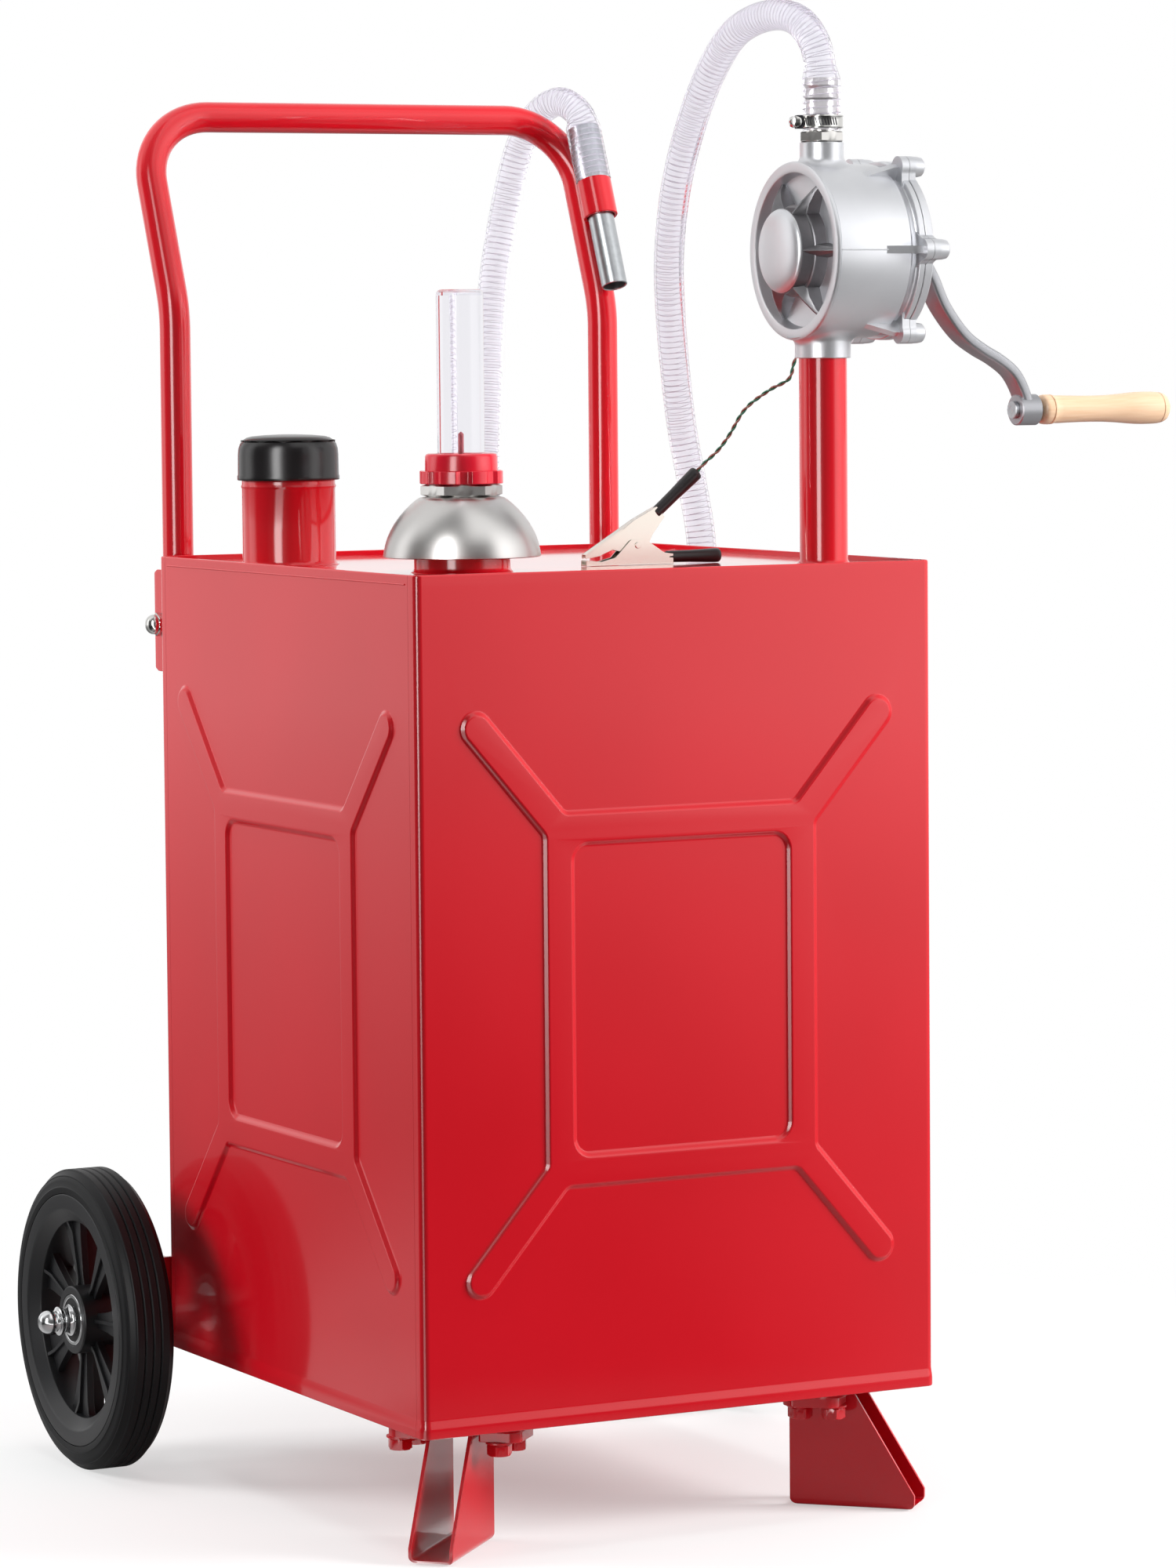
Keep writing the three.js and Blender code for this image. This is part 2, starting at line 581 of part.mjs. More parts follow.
const rodRadius = indicator.rod / 2;
const rodBore = boreFor(rodRadius, runningFit, facets.tiny);
const spigotLow = bush.bottom - bush.spigotDown;
piece("hex_bush", "zinc", at(gauge, cut(
  join(
    prismZ(hexagon(bush.across), bush.bottom, bush.top).rotateZ(bush.turn * degrees),
    rodZ(bush.spigot / 2, spigotLow, bush.bottom + bush.bore, 0, 0, facets.medium),
  ),
  rodZ(rodBore, spigotLow - bush.bore, bush.top + bush.bore, 0, 0, facets.tiny),
)));

const sightOuter = sight.outer / 2;
const sightInner = sightOuter - sight.wall;
const sightLow = bush.top + seam;
const sightFoot = sight.foot / 2;
piece("sight_tube", "clearPlastic", at(gauge, turnedZ([
  [sightInner, sightLow], [sightFoot, sightLow], [sightFoot, sightLow + sight.footTall],
  [sightOuter, sightLow + sight.footTall], [sightOuter, sight.top - sight.wall], [sightInner, sight.top],
  [0, sight.top], [0, sight.top - sight.wall], [sightInner, sight.top - sight.wall],
], facets.medium)));

const collarLow = collar.lowOuter / 2 - collar.lugDeep;
const collarHigh = collar.highOuter / 2;
const ledge = sightLow + sight.footTall + seam;
const collarBody = turnedZ([
  [sightFoot + seam, collar.bottom], [collarLow, collar.bottom], [collarLow, collar.step],
  [collarHigh, collar.step], [collarHigh, collar.top], [sightOuter + seam, collar.top],
  [sightOuter + seam, ledge], [sightFoot + seam, ledge],
], facets.medium);
const halfLug = collar.lugWide / 2;
const lugs = [...Array(collar.lugs).keys()].map((k) => {
  const lug = box(
    collarLow - collar.lugDeep, collarLow + collar.lugDeep, -halfLug, halfLug, collar.bottom, collar.step);
  return lug.rotateZ((k * 2 * Math.PI) / collar.lugs);
});
piece("collar_nut", "redPlastic", at(gauge, join(collarBody, ...lugs)));

// Float arm and the rod that shows the level: the arm's pin runs in the slot of the rod's foot.
const pinReachHigh = arm.lever * Math.cos(arm.high * degrees);
const pivotY = gauge.y - (arm.lever + pinReachHigh) / 2;
const pinZ = arm.pivotZ - arm.lever * Math.sin(arm.low * degrees);
const footX = gauge.x - indicator.footThick / 2;
const slotHalf = (arm.lever - pinReachHigh) / 2 + arm.pin / 2 + seam * 2;
const slotTall = arm.pin * 2 + seam * 3;
const aroundPin = (wide, tall, radius) =>
  rectangle(gauge.y - wide / 2, gauge.y + wide / 2, pinZ - tall / 2, pinZ + tall / 2, radius);
const footPlate = cut(
  prismX(aroundPin(indicator.footWide, indicator.footTall, indicator.footThick),
    footX, footX + indicator.footThick),
  prismX(aroundPin(slotHalf * 2, slotTall, arm.pin / 2),
    footX - indicator.footThick, footX + indicator.footThick * 2),
);
const rodShape = at(gauge, turnedZ([
  [0, pinZ + indicator.footTall / 2 - rodRadius], [rodRadius, pinZ + indicator.footTall / 2 - rodRadius],
  [rodRadius, indicator.tip - rodRadius], [0, indicator.tip],
], facets.tiny));
piece("indicator_rod", "redPlastic", join(footPlate, rodShape));

const armX = footX + indicator.footThick * 2;
const stemX = armX + arm.thick + seam;
const halfBar = arm.wide / 2;
const armBar = prismX(rectangle(0, arm.length, -halfBar, halfBar), armX, armX + arm.thick);
const armEye = rodX(arm.eye / 2, armX, armX + arm.thick, 0, 0, facets.small);
const armPin = rodX(arm.pin / 2, footX - indicator.footThick, armX + halfBar, arm.lever, 0, facets.tiny);
const armBore = boreFor(stem.pivot / 2, runningFit, facets.small);
const armHole = rodX(armBore, armX - halfBar, stemX, 0, 0, facets.small);
const swungDown = (geometry) => geometry.rotateX(-arm.low * degrees).translate(0, pivotY, arm.pivotZ);
piece("float_arm", "zinc", swungDown(cut(join(armBar, armEye, armPin), armHole)));

const floatMiddle = armX + arm.thick / 2;
const floatHalf = float.length / 2;
const floatEnd = float.radius / 3;
const floatFlat = float.radius - floatEnd;
const floatBody = turnedX([
  [0, -floatHalf], ...arcProfile(floatFlat, floatEnd - floatHalf, floatEnd, -90, 0, facets.fillet),
  ...arcProfile(floatFlat, floatHalf - floatEnd, floatEnd, 0, 90, facets.fillet), [0, floatHalf],
], facets.small).translate(floatMiddle, arm.length, 0);
const armSocket = box(armX - seam, armX + arm.thick + seam, -float.radius, arm.length + seam,
  -halfBar - seam, halfBar + seam);
piece("gauge_float", "blackPlastic", swungDown(cut(floatBody, armSocket)));

const halfStem = stem.wide / 2;
const stemTop = spigotLow - seam;
const stemNeck = arm.pivotZ + stem.neckAbovePivot;
const stemPlate = prismX(outline([
  [gauge.y - halfStem, stemTop], [gauge.y - halfStem, stemNeck],
  [pivotY - halfStem, arm.pivotZ + halfStem, halfStem], [pivotY - halfStem, arm.pivotZ - halfStem, halfStem],
  [pivotY + halfStem, arm.pivotZ - halfStem, halfStem], [pivotY + halfStem, arm.pivotZ],
  [gauge.y + halfStem, stemNeck - stem.wide], [gauge.y + halfStem, stemTop],
]), stemX, stemX + stem.thick, facets.fillet);
const stemFoot = box(
  stemX, stemX + halfStem, gauge.y - halfStem, gauge.y + halfStem, stemTop - stem.thick, stemTop);
const pivotPin = rodX(stem.pivot / 2, armX - seam, stemX + stem.thick, pivotY, arm.pivotZ, facets.small);
const pivotHead = rodX(
  stem.pivot, armX - seam - stem.foot / 2, armX - seam, pivotY, arm.pivotZ, facets.small);
piece("gauge_stem", "zinc", join(stemPlate, stemFoot, pivotPin, pivotHead));

// Pump: the shaft lies along X, level with the middle of the body.

const onPump = (geometry) => geometry.translate(riser.x, riser.y, pump.z);
const aroundPump = (count, make) => [...Array(count).keys()].map((k) => make((k * 2 * Math.PI) / count));
const lugAt = (from, to) => (a) => rodX(endPlate.lugRadius, from, to,
  endPlate.lugCircle * Math.cos(a), endPlate.lugCircle * Math.sin(a), facets.tiny);
const chamber = pump.bodyRadius - pump.wall;
const plateStart = pump.flange + seam;
const plateEnd = plateStart + endPlate.thick;
const inletOuter = inlet.outer / 2;
const outletOuter = outlet.outer / 2;

const gussetShape = outline([
  [pump.flange - endPlate.lugFront, endPlate.lugCircle],
  [pump.flange - endPlate.lugFront - gusset.reach, pump.bodyRadius - gusset.drop],
  [pump.flange - gusset.drop, pump.bodyRadius - gusset.drop], [pump.flange - gusset.drop, endPlate.lugCircle],
]);
const gussets = aroundPump(endPlate.lugs, (a) =>
  onPump(prismY(gussetShape, -gusset.thick / 2, gusset.thick / 2).rotateX(a - Math.PI / 2)));
const bodyShell = cut(
  join(
    ...gussets,
    onPump(rodX(pump.bodyRadius, pump.face, pump.flange, 0, 0, facets.large)),
    onPump(rodX(endPlate.radius, pump.flange - endPlate.thick, pump.flange, 0, 0, facets.large)),
    ...aroundPump(endPlate.lugs, lugAt(pump.flange - endPlate.lugFront, pump.flange)).map(onPump),
    at(riser, turnedZ(rodProfile(inletOuter, inlet.bottom, pump.z - pump.bodyRadius / 2))),
    at(riser, turnedZ(rodProfile(outletOuter, pump.z + pump.bodyRadius / 2, outlet.top))),
    rodY(lead.lugRadius, riser.y, riser.y + lead.lugOut, riser.x, lead.lugZ, facets.tiny),
  ),
  onPump(rodX(chamber, pump.face - pump.wall, pump.flange + pump.wall, 0, 0, facets.large)),
  at(riser, turnedZ([
    [0, inlet.bottom - inlet.socket], [riserOuter + seam, inlet.bottom - inlet.socket],
    [riserOuter + seam, riser.top + seam], [suctionOuter + seam, riser.top + seam],
    [suctionOuter + seam, pump.z], [0, pump.z],
  ])),
  at(riser, turnedZ(rodProfile(outlet.bore / 2, pump.z, outlet.top + inlet.socket))),
);
piece("pump_body", "castAluminium", bodyShell);

const dishOuter = chamber - seam;
const coverBack = pump.face - seam;
const coverEdge = seam * 3;
const webBack = cover.web + pump.wall - seam * 3;
const coverDisc = onPump(turnedX([
  [0, cover.bossFace], [cover.boss - coverEdge, cover.bossFace + coverEdge / 2],
  [cover.boss, cover.bossFace + coverEdge * 2], [cover.boss, cover.step.face],
  [cover.step.radius, cover.step.face], [cover.step.radius + coverEdge * 2, cover.web],
  [cover.rimInner - coverEdge * 4, cover.web], [cover.rimInner - coverEdge, cover.rimFace + coverEdge],
  [cover.rimInner + coverEdge, cover.rimFace], [cover.rim - coverEdge, cover.rimFace],
  [cover.rim, cover.rimFace + coverEdge], [cover.rim, coverBack], [dishOuter, coverBack],
  [dishOuter, webBack], [0, webBack],
], facets.large));
const ribShape = outline([
  [cover.bossFace + coverEdge * 4, cover.boss - coverEdge], [cover.rimFace, cover.rimInner + coverEdge],
  [webBack - coverEdge, cover.rimInner - coverEdge], [webBack - coverEdge, cover.boss - coverEdge],
]);
const ribs = aroundPump(cover.ribs, (a) =>
  onPump(prismY(ribShape, -cover.ribThick / 2, cover.ribThick / 2).rotateX(a)));
piece("pump_cover", "castAluminium", join(coverDisc, ...ribs));

const shaftRadius = rotor.shaft / 2;
piece("pump_end_plate", "castAluminium", cut(
  join(
    onPump(turnedX([
      [0, plateStart], [endPlate.radius, plateStart], [endPlate.radius, plateEnd - coverEdge],
      [endPlate.radius - coverEdge, plateEnd], [endPlate.boss * 2, plateEnd],
      [endPlate.boss, endPlate.bossFace], [0, endPlate.bossFace],
    ], facets.large)),
    ...aroundPump(endPlate.lugs, lugAt(plateStart, plateEnd + endPlate.lugBack)).map(onPump),
  ),
  onPump(rodX(boreFor(shaftRadius, runningFit, facets.medium), pump.face, crank.hubEnd, 0, 0, facets.medium)),
));

const rotorStart = webBack + rotor.play;
const rotorEnd = plateStart - rotor.play;
const halfVane = rotor.vaneThick / 2;
const vanes = aroundPump(rotor.vanes, (a) => box(
  rotorStart, rotorEnd, -halfVane, halfVane, shaftRadius + rotor.play, chamber - rotor.play).rotateX(a));
const rotorBody = cut(
  join(rodX(rotor.radius, rotorStart, rotorEnd, 0, 0, facets.medium), ...vanes),
  rodX(shaftRadius + seam, pump.face, crank.hubEnd, 0, 0, facets.medium),
);
piece("pump_rotor", "zinc", onPump(rotorBody));
const shaftEnd = crank.hubEnd - seam * 3;
piece("pump_shaft", "zinc", onPump(rodX(shaftRadius, rotorStart, shaftEnd, 0, 0, facets.medium)));

// Crank: a flat bar bent down and outwards, cast with its hub and end boss.

const crankCurve = new THREE.SplineCurve(crankLine.map(([x, z]) => V2(x, z)));
const crankSteps = facets.arc * 4;
const crankEdge = (offset) => [...Array(crankSteps + 1).keys()].map((k) => {
  const along = crankCurve.getTangent(k / crankSteps);
  return crankCurve.getPoint(k / crankSteps).add(V2(-along.y, along.x).multiplyScalar(offset));
});
const crankBar = new THREE.Shape([...crankEdge(crank.thick / 2), ...crankEdge(-crank.thick / 2).reverse()]);
const crankTopZ = crank.hubRadius;
const crankLowZ = crank.bossZ - crank.bossRadius;
const crankWidth = prismX(outline([
  [-crank.wideTop / 2, crankTopZ], [-crank.wideEnd / 2, crankLowZ],
  [crank.wideEnd / 2, crankLowZ], [crank.wideTop / 2, crankTopZ],
]), crank.hubStart, grip.start);
const crankBody = shared(prismY(crankBar, -crank.wideTop, crank.wideTop), crankWidth);
const gripPin = grip.pin / 2;
const bossEnd = crank.bossX + crank.bossHalf;
piece("crank_arm", "castAluminium", onPump(cut(
  join(
    crankBody,
    rodX(crank.hubRadius, crank.hubStart, crank.hubEnd, 0, 0, facets.medium),
    rodX(crank.bossRadius, crank.bossX - crank.bossHalf, bossEnd, 0, crank.bossZ, facets.medium),
  ),
  rodX(shaftRadius + seam, crank.hubStart - crank.thick, crank.hubEnd + crank.thick, 0, 0, facets.medium),
  rodX(gripPin + seam, crank.bossX - crank.bossHalf * 2, grip.start, 0, crank.bossZ, facets.medium),
)));

const gripBore = boreFor(gripPin, runningFit, facets.medium);
const gripLong = grip.end - grip.start;
const recess = grip.headThick * 2;
const onGrip = (geometry) => onPump(geometry.translate(0, 0, crank.bossZ));
const pinNut = crank.bossX - crank.bossHalf - seam;
piece("grip_pin", "zinc", onGrip(turnedX([
  [0, pinNut - grip.headThick], [grip.headRadius, pinNut - grip.headThick], [grip.headRadius, pinNut],
  [gripPin, pinNut], [gripPin, bossEnd + seam], [grip.headRadius, bossEnd + seam],
  [grip.headRadius, grip.start - seam], [gripPin, grip.start - seam], [gripPin, grip.end - recess + seam],
  [grip.headRadius, grip.end - recess + seam], [grip.headRadius, grip.end - grip.headThick],
  [0, grip.end - grip.headThick],
], facets.medium)));
piece("wooden_grip", "wood", onGrip(turnedX([
  [gripBore, grip.start], ...gripShape.map(({ share, radius }) => [radius, grip.start + share * gripLong]),
  [grip.headRadius + seam, grip.end], [grip.headRadius + seam, grip.end - recess],
  [gripBore, grip.end - recess],
], facets.medium)));

// Outlet fitting and hose clamp

const hexTop = outlet.top + seam + fitting.hexTall;
const barbTop = hexTop + fitting.barbTall;
const barb = fitting.barb / 2;
piece("outlet_fitting", "zinc", at(riser, cut(
  join(
    prismZ(hexagon(fitting.across), outlet.top + seam, hexTop),
    turnedZ([
      [0, outlet.top - fitting.hexTall], [outlet.bore / 2 - seam, outlet.top - fitting.hexTall],
      [outlet.bore / 2 - seam, hexTop - fitting.hexTall / 2], [barb, hexTop - fitting.hexTall / 2],
      [barb, barbTop - fitting.ridge * 4], [barb + fitting.ridge, barbTop - fitting.ridge * 4],
      [barb, barbTop], [0, barbTop],
    ]),
  ),
  rodZ(fitting.bore / 2, outlet.top - fitting.hexTall * 2, barbTop + fitting.hexTall, 0, 0, facets.small),
)));
const bandInner = boreFor(hose.stretched / 2, seam, facets.medium);
const bandOuter = bandInner + clamp.thick;
const housing = bandOuter + clamp.screwRadius;
const clampTop = clamp.bottom + clamp.tall;
piece("hose_clamp", "brightSteel", at(riser, join(
  turnedZ(pipeProfile(bandOuter, bandInner, clamp.bottom, clampTop), facets.medium),
  cut(
    box(-clamp.screwLength / 2, clamp.screwLength / 2, -housing, -bandInner, clamp.bottom, clampTop),
    rodZ(bandInner + clamp.thick / 2, clamp.bottom - clamp.tall, clampTop + clamp.tall, 0, 0, facets.medium),
  ),
  rodX(clamp.screwRadius, -clamp.screwLength, clamp.screwLength / 2 + clamp.thick, -housing,
    clamp.bottom + clamp.tall / 2, facets.tiny),
)));

// Push handle

const leanStep = V3(0, Math.sin(handle.lean * degrees), Math.cos(handle.lean * degrees));
const leanAcross = V3(0, -leanStep.z, leanStep.y);
const knee = (sign) => V3(sign * handleSpan, handleBack, handle.kneeHeight);
const corner = (sign) => knee(sign).addScaledVector(leanStep, handle.leanLength);
const legEnd = (sign) => V3(sign * handleSpan, handleBack, handle.low);
const kneeBend = { radius: handle.kneeRadius, chords: facets.knee };
const cornerBend = { radius: handle.corner, chords: facets.corner };
const handleRoute = bentRoute(
  [legEnd(-1), knee(-1), corner(-1), corner(1), knee(1), legEnd(1)],
  [kneeBend, cornerBend, cornerBend, kneeBend],
);
const handleOuter = handle.outer / 2;
const handleSteps = handleRoute.stations.length - 1;
const handleTube = tubeAlong(handleRoute, handleSteps, facets.medium,
  () => handleOuter, () => handleOuter - handle.wall);
const boltRadius = bracket.bolt / 2;
const boltHole = rodX(boltRadius + seam, -halfWide, halfWide, handleBack, bracket.boltHeight, facets.small);
piece("handle_frame", "redPaint", cut(handleTube, boltHole));

const channelBack = handleBack + handleOuter + seam;
const bracketOuter = bracket.inner + bracket.plate;
const bracketBack = channelBack + bracket.plate;
const bracketShape = rectangle(tankBack, bracketBack, bracket.low, bracket.high, bracket.corner);
const squareFront = rectangle(tankBack, handleBack, bracket.low, bracket.high);
sides.forEach(({ side, sign }) => {
  const x = sign * handleSpan;
  const channel = cut(
    join(
      prismX(bracketShape, x - bracketOuter, x + bracketOuter),
      prismX(squareFront, x - bracketOuter, x + bracketOuter),
    ),
    box(x - bracket.inner, x + bracket.inner, halfDeep - tank.sheet, channelBack, tankBottom, tankTop),
    boltHole,
  );
  piece("handle_bracket_" + side, "redPaint", channel);

  const nutFace = bracketOuter + seam;
  const shank = rodX(boltRadius, -nutFace - acornNut.hexTall, nutFace + acornNut.hexTall, 0, 0, facets.small);
  const nut = (from) => prismX(hexagon(acornNut.across), from, from + acornNut.hexTall);
  const domed = turnedX([
    [0, nutFace + acornNut.hexTall / 2], [acornNut.domeRadius, nutFace + acornNut.hexTall / 2],
    ...arcProfile(0, nutFace + acornNut.hexTall, acornNut.domeRadius, 0, 90, facets.arc),
  ], facets.small);
  const bolt = join(shank, nut(nutFace), nut(-nutFace - acornNut.hexTall), domed);
  const turnedOut = sign > 0 ? bolt : bolt.rotateZ(Math.PI);
  piece("handle_bolt_" + side, "brightSteel", turnedOut.translate(x, handleBack, bracket.boltHeight));
});

// Holster and nozzle stand in front of the right leg of the handle and lean with it.
const holsterAway = handleOuter + seam + holster.outer;
const holsterMiddle = knee(1)
  .addScaledVector(leanStep, holster.aboveKnee)
  .addScaledVector(leanAcross, holsterAway);
const onHolster = (geometry) =>
  geometry.rotateX(-handle.lean * degrees).translate(holsterMiddle.x, holsterMiddle.y, holsterMiddle.z);
const holsterTop = holster.length / 2;
piece("nozzle_holster", "redPaint",
  onHolster(turnedZ(pipeProfile(holster.outer, holster.inner, -holsterTop, holsterTop), facets.medium)));
const nozzleOuter = nozzle.outer / 2;
piece("nozzle_tube", "zinc", onHolster(turnedZ(
  pipeProfile(nozzleOuter, nozzleOuter - nozzle.wall, -nozzle.below, nozzle.above), facets.medium)));

// Wheels: each is drawn about its own middle with the outer face towards +x.

const axleY = halfDeep + wheel.axleBehind;
const onWheel = (sign, geometry) =>
  (sign > 0 ? geometry : geometry.rotateZ(Math.PI)).translate(sign * wheelX, axleY, wheel.radius);
const halfTyre = wheel.wide / 2;

function tyreSolid() {
  const shoulderR = wheel.radius - tyre.shoulder;
  const flangeGap = rim.flangeThick + seam;
  const tread = wheel.wide - 2 * tyre.shoulder;
  const grooves = [...Array(tyre.grooves).keys()].flatMap((k) => {
    const middle = tread * ((k + 1) / (tyre.grooves + 1) - 1 / 2);
    const half = tyre.grooveWide / 2;
    return [
      [wheel.radius, middle - half], [wheel.radius - tyre.grooveDeep, middle], [wheel.radius, middle + half],
    ];
  });
  const bead = rim.flange + seam;
  return turnedX([
    [tyre.seat + seam, -halfTyre + flangeGap], [bead, -halfTyre + flangeGap], [bead, -halfTyre],
    ...arcProfile(shoulderR, -halfTyre + tyre.shoulder, tyre.shoulder, -90, 0, facets.fillet),
    ...grooves,
    ...arcProfile(shoulderR, halfTyre - tyre.shoulder, tyre.shoulder, 0, 90, facets.fillet),
    [bead, halfTyre], [bead, halfTyre - flangeGap], [tyre.seat + seam, halfTyre - flangeGap],
  ], facets.wheel);
}

function rimSolid() {
  const barrelInner = rim.opening;
  const dish = rim.opening + rim.barrelWall;
  const edge = halfTyre - rim.flangeThick;
  const mouth = dish + rim.barrelWall;
  const barrel = turnedX([
    [tyre.seat, -edge], [rim.flange, -edge], [rim.flange, -halfTyre], [mouth, -halfTyre],
    [barrelInner, -rim.throatHalf], [barrelInner, rim.throatHalf],
    [mouth, halfTyre], [rim.flange, halfTyre], [rim.flange, edge], [tyre.seat, edge],
  ], facets.wheel);
  const hub = rodX(rim.hub, -rim.hubHalf, rim.hubHalf, 0, 0, facets.medium);
  const root = (bearing.outer + rim.hub) / 2;
  const spoke = outline([
    [root, -rim.spokeRoot / 2], [dish, -rim.spokeTip / 2],
    [dish, rim.spokeTip / 2], [root, rim.spokeRoot / 2],
  ]);
  const spokes = [...Array(rim.spokes).keys()].flatMap((k) => {
    const a = (rim.firstSpoke + (k * 360) / rim.spokes) * degrees;
    const flat = prismX(spoke, -rim.spokeThick / 2, rim.spokeThick / 2);
    const rib = box(-rim.ribDeep / 2, rim.ribDeep / 2, root, dish, -rim.ribThick / 2, rim.ribThick / 2);
    return [flat.rotateX(a), rib.rotateX(a)];
  });
  const seat = (from, to) => rodX(bearing.outer + seam, from, to, 0, 0, facets.medium);
  return cut(
    join(barrel, hub, ...spokes),
    rodX(bearing.outer - rim.spokeThick / 2, -rim.hub, rim.hub, 0, 0, facets.medium),
    seat(rim.hubHalf - bearing.wide - seam, rim.hubHalf * 2),
    seat(-rim.hubHalf * 2, -rim.hubHalf + bearing.wide + seam),
  );
}

// The outer face is drawn towards -x, with a groove between the two rings.
function bearingSolid() {
  const half = bearing.wide / 2;
  const bore = boreFor(axle.radius, runningFit, facets.medium);
  const raceInner = bearing.outer - (bearing.outer - bearing.inner) / 3;
  return turnedX([
    [bore, -half], [bearing.inner, -half], [bearing.inner, -half + bearing.groove],
    [raceInner, -half + bearing.groove], [raceInner, -half], [bearing.outer, -half], [bearing.outer, half],
    [bore, half],
  ], facets.medium);
}

const hubFace = wheelX + rim.hubHalf;
const nutBottom = hubFace + seam + axleNut.washerThick + seam;
const nutTip = nutBottom + axleNut.tall;
const axleEnd = nutBottom + axle.intoNut;
const plateX = halfWide - axlePlate.fromSide;
sides.forEach(({ side, sign }) => {
  piece("tyre_" + side, "tyreRubber", onWheel(sign, tyreSolid()));
  piece("rim_" + side, "blackPlastic", onWheel(sign, rimSolid()));
  const bearingMiddle = rim.hubHalf - bearing.wide / 2;
  const outerBearing = bearingSolid().rotateZ(Math.PI).translate(bearingMiddle, 0, 0);
  const innerBearing = bearingSolid().translate(-bearingMiddle, 0, 0);
  piece("bearing_outer_" + side, "brightSteel", onWheel(sign, outerBearing));
  piece("bearing_inner_" + side, "brightSteel", onWheel(sign, innerBearing));

  const onAxle = (geometry) =>
    (sign > 0 ? geometry : geometry.rotateZ(Math.PI)).translate(0, axleY, wheel.radius);
  piece("axle_spacer_" + side, "zinc", onAxle(turnedX(pipeProfile(
    spacer.outer, axle.radius + seam, plateX + axlePlate.half + seam, wheelX - rim.hubHalf - seam),
  facets.medium)));
  const capped = turnedX([
    [axle.radius + seam, nutBottom], [axleNut.domeRadius, nutBottom],
    [axleNut.domeRadius, nutTip - axleNut.domeRadius],
    ...arcProfile(0, nutTip - axleNut.domeRadius, axleNut.domeRadius, axleNut.domeFrom, 90, facets.fillet),
    [0, axleEnd + seam], [axle.radius + seam, axleEnd + seam],
  ], facets.medium);
  const nutHex = cut(
    prismX(hexagon(axleNut.across), nutBottom, nutBottom + axleNut.hexTall),
    rodX(axle.radius + seam, hubFace, axleEnd, 0, 0, facets.medium),
  );
  const washer = turnedX(pipeProfile(
    axleNut.washer, axle.radius + seam, hubFace + seam, nutBottom + seam), facets.medium);
  piece("axle_nut_" + side, "brightSteel", onAxle(join(nutHex, capped, washer)));

  const plateFar = axleY + axlePlate.half;
  const inner = axlePlate.half - axlePlate.plate;
  const x = sign * plateX;
  const plateShape = rectangle(tankBack, plateFar, axlePlate.low, axlePlate.high, axlePlate.corner);
  const plateFront = rectangle(tankBack, axleY - axle.radius, axlePlate.low, axlePlate.high);
  piece("axle_bracket_" + side, "redPaint", cut(
    join(
      prismX(plateShape, x - axlePlate.half, x + axlePlate.half),
      prismX(plateFront, x - axlePlate.half, x + axlePlate.half),
    ),
    box(x - inner, x + inner, tankBack + axlePlate.plate, plateFar * 2, 0, tankTop),
    rodX(axle.radius + seam, -wheelX, wheelX, axleY, wheel.radius, facets.medium),
  ));
});
piece("axle", "zinc", rodX(axle.radius, -axleEnd, axleEnd, axleY, wheel.radius, facets.medium));

// Front legs: a folded channel with its open top bent out into two ears, cut on a slant at the outside.

function legSolid() {
  const out = leg.outerHalf;
  const inn = leg.outerHalf - leg.plate;
  const top = tankBottom - seam;
  const ear = top - leg.earThick;
  const innerBend = leg.bend - leg.plate;
  const section = outline([
    [-leg.outerHalf - leg.earReach, ear], [-out, ear, innerBend], [-out, 0, leg.bend], [out, 0, leg.bend],
    [out, ear, innerBend], [leg.outerHalf + leg.earReach, ear], [leg.outerHalf + leg.earReach, top],
    [inn, top, leg.bend], [inn, leg.plate, innerBend], [-inn, leg.plate, innerBend], [-inn, top, leg.bend],
    [-leg.outerHalf - leg.earReach, top],
  ]);
  const folded = prismX(section, leg.outer, leg.inner);
  const slant = leg.inner - leg.topLength;
  const sideView = prismY(outline([
    [leg.outer, 0, leg.bend], [leg.inner, 0, leg.bend], [leg.inner, top], [slant, top],
    [leg.outer, leg.bend * 2, leg.bend],
  ]), -leg.inner, leg.inner);
  const earEnd = leg.outerHalf + leg.earReach;
  const planView = prismZ(rectangle(slant, leg.inner, -earEnd, earEnd, leg.earCorner), ear - seam, top);
  const planLow = prismZ(rectangle(leg.outer, leg.inner, -leg.outerHalf, leg.outerHalf), 0, top);
  return shared(shared(folded, sideView), join(planView, planLow));
}
sides.forEach(({ side, sign }) => {
  const turn = sign > 0 ? Math.PI * (3 / 4) : Math.PI / 4;
  piece("leg_" + side, "redPaint", legSolid().rotateZ(turn).translate(sign * halfWide, -halfDeep, 0));
});

// Hose, in two lengths, and the earth lead with its clip

const hoseFree = hose.outer / 2;
const hoseFull = hose.stretched / 2;
const onNozzle = (up) => holsterMiddle.clone().addScaledVector(leanStep, up);
const sideShift = halfWide - drawnTank.halfWide;
const rearShift = halfDeep - drawnTank.halfDeep;
// A place drawn at the front of the tank moves with its front wall, and one at the rear with its rear wall.
const routed = ([x, y, z]) => {
  const towardsRear = Math.min(Math.max(y / drawnTank.halfDeep, -1), 1);
  const upwards = Math.min(z / drawnTank.top, 1);
  return V3(x + sideShift, y + rearShift * towardsRear, z + lift * upwards);
};
const hoseLow = hoseRoute[0][2] + lift;
const hoseCurve = smoothRoute([
  V3(riser.x, riser.y, hoseLow), V3(riser.x, riser.y, hoseRoute[1][2] + lift),
  ...hoseRoute.slice(2).map(routed), onNozzle(nozzle.above + hose.straight), onNozzle(nozzle.above),
  onNozzle(holsterTop + seam),
]);
const hoseLong = hoseCurve.getLength();
const evenly = (from, to, count) => [...Array(count + 1).keys()].map((k) => from + ((to - from) * k) / count);
const barbSleeve = barbTop + seam - hoseLow;
const nozzleSleeve = hoseLong - (nozzle.above - holsterTop);
const split = hoseLong - hose.endLong;

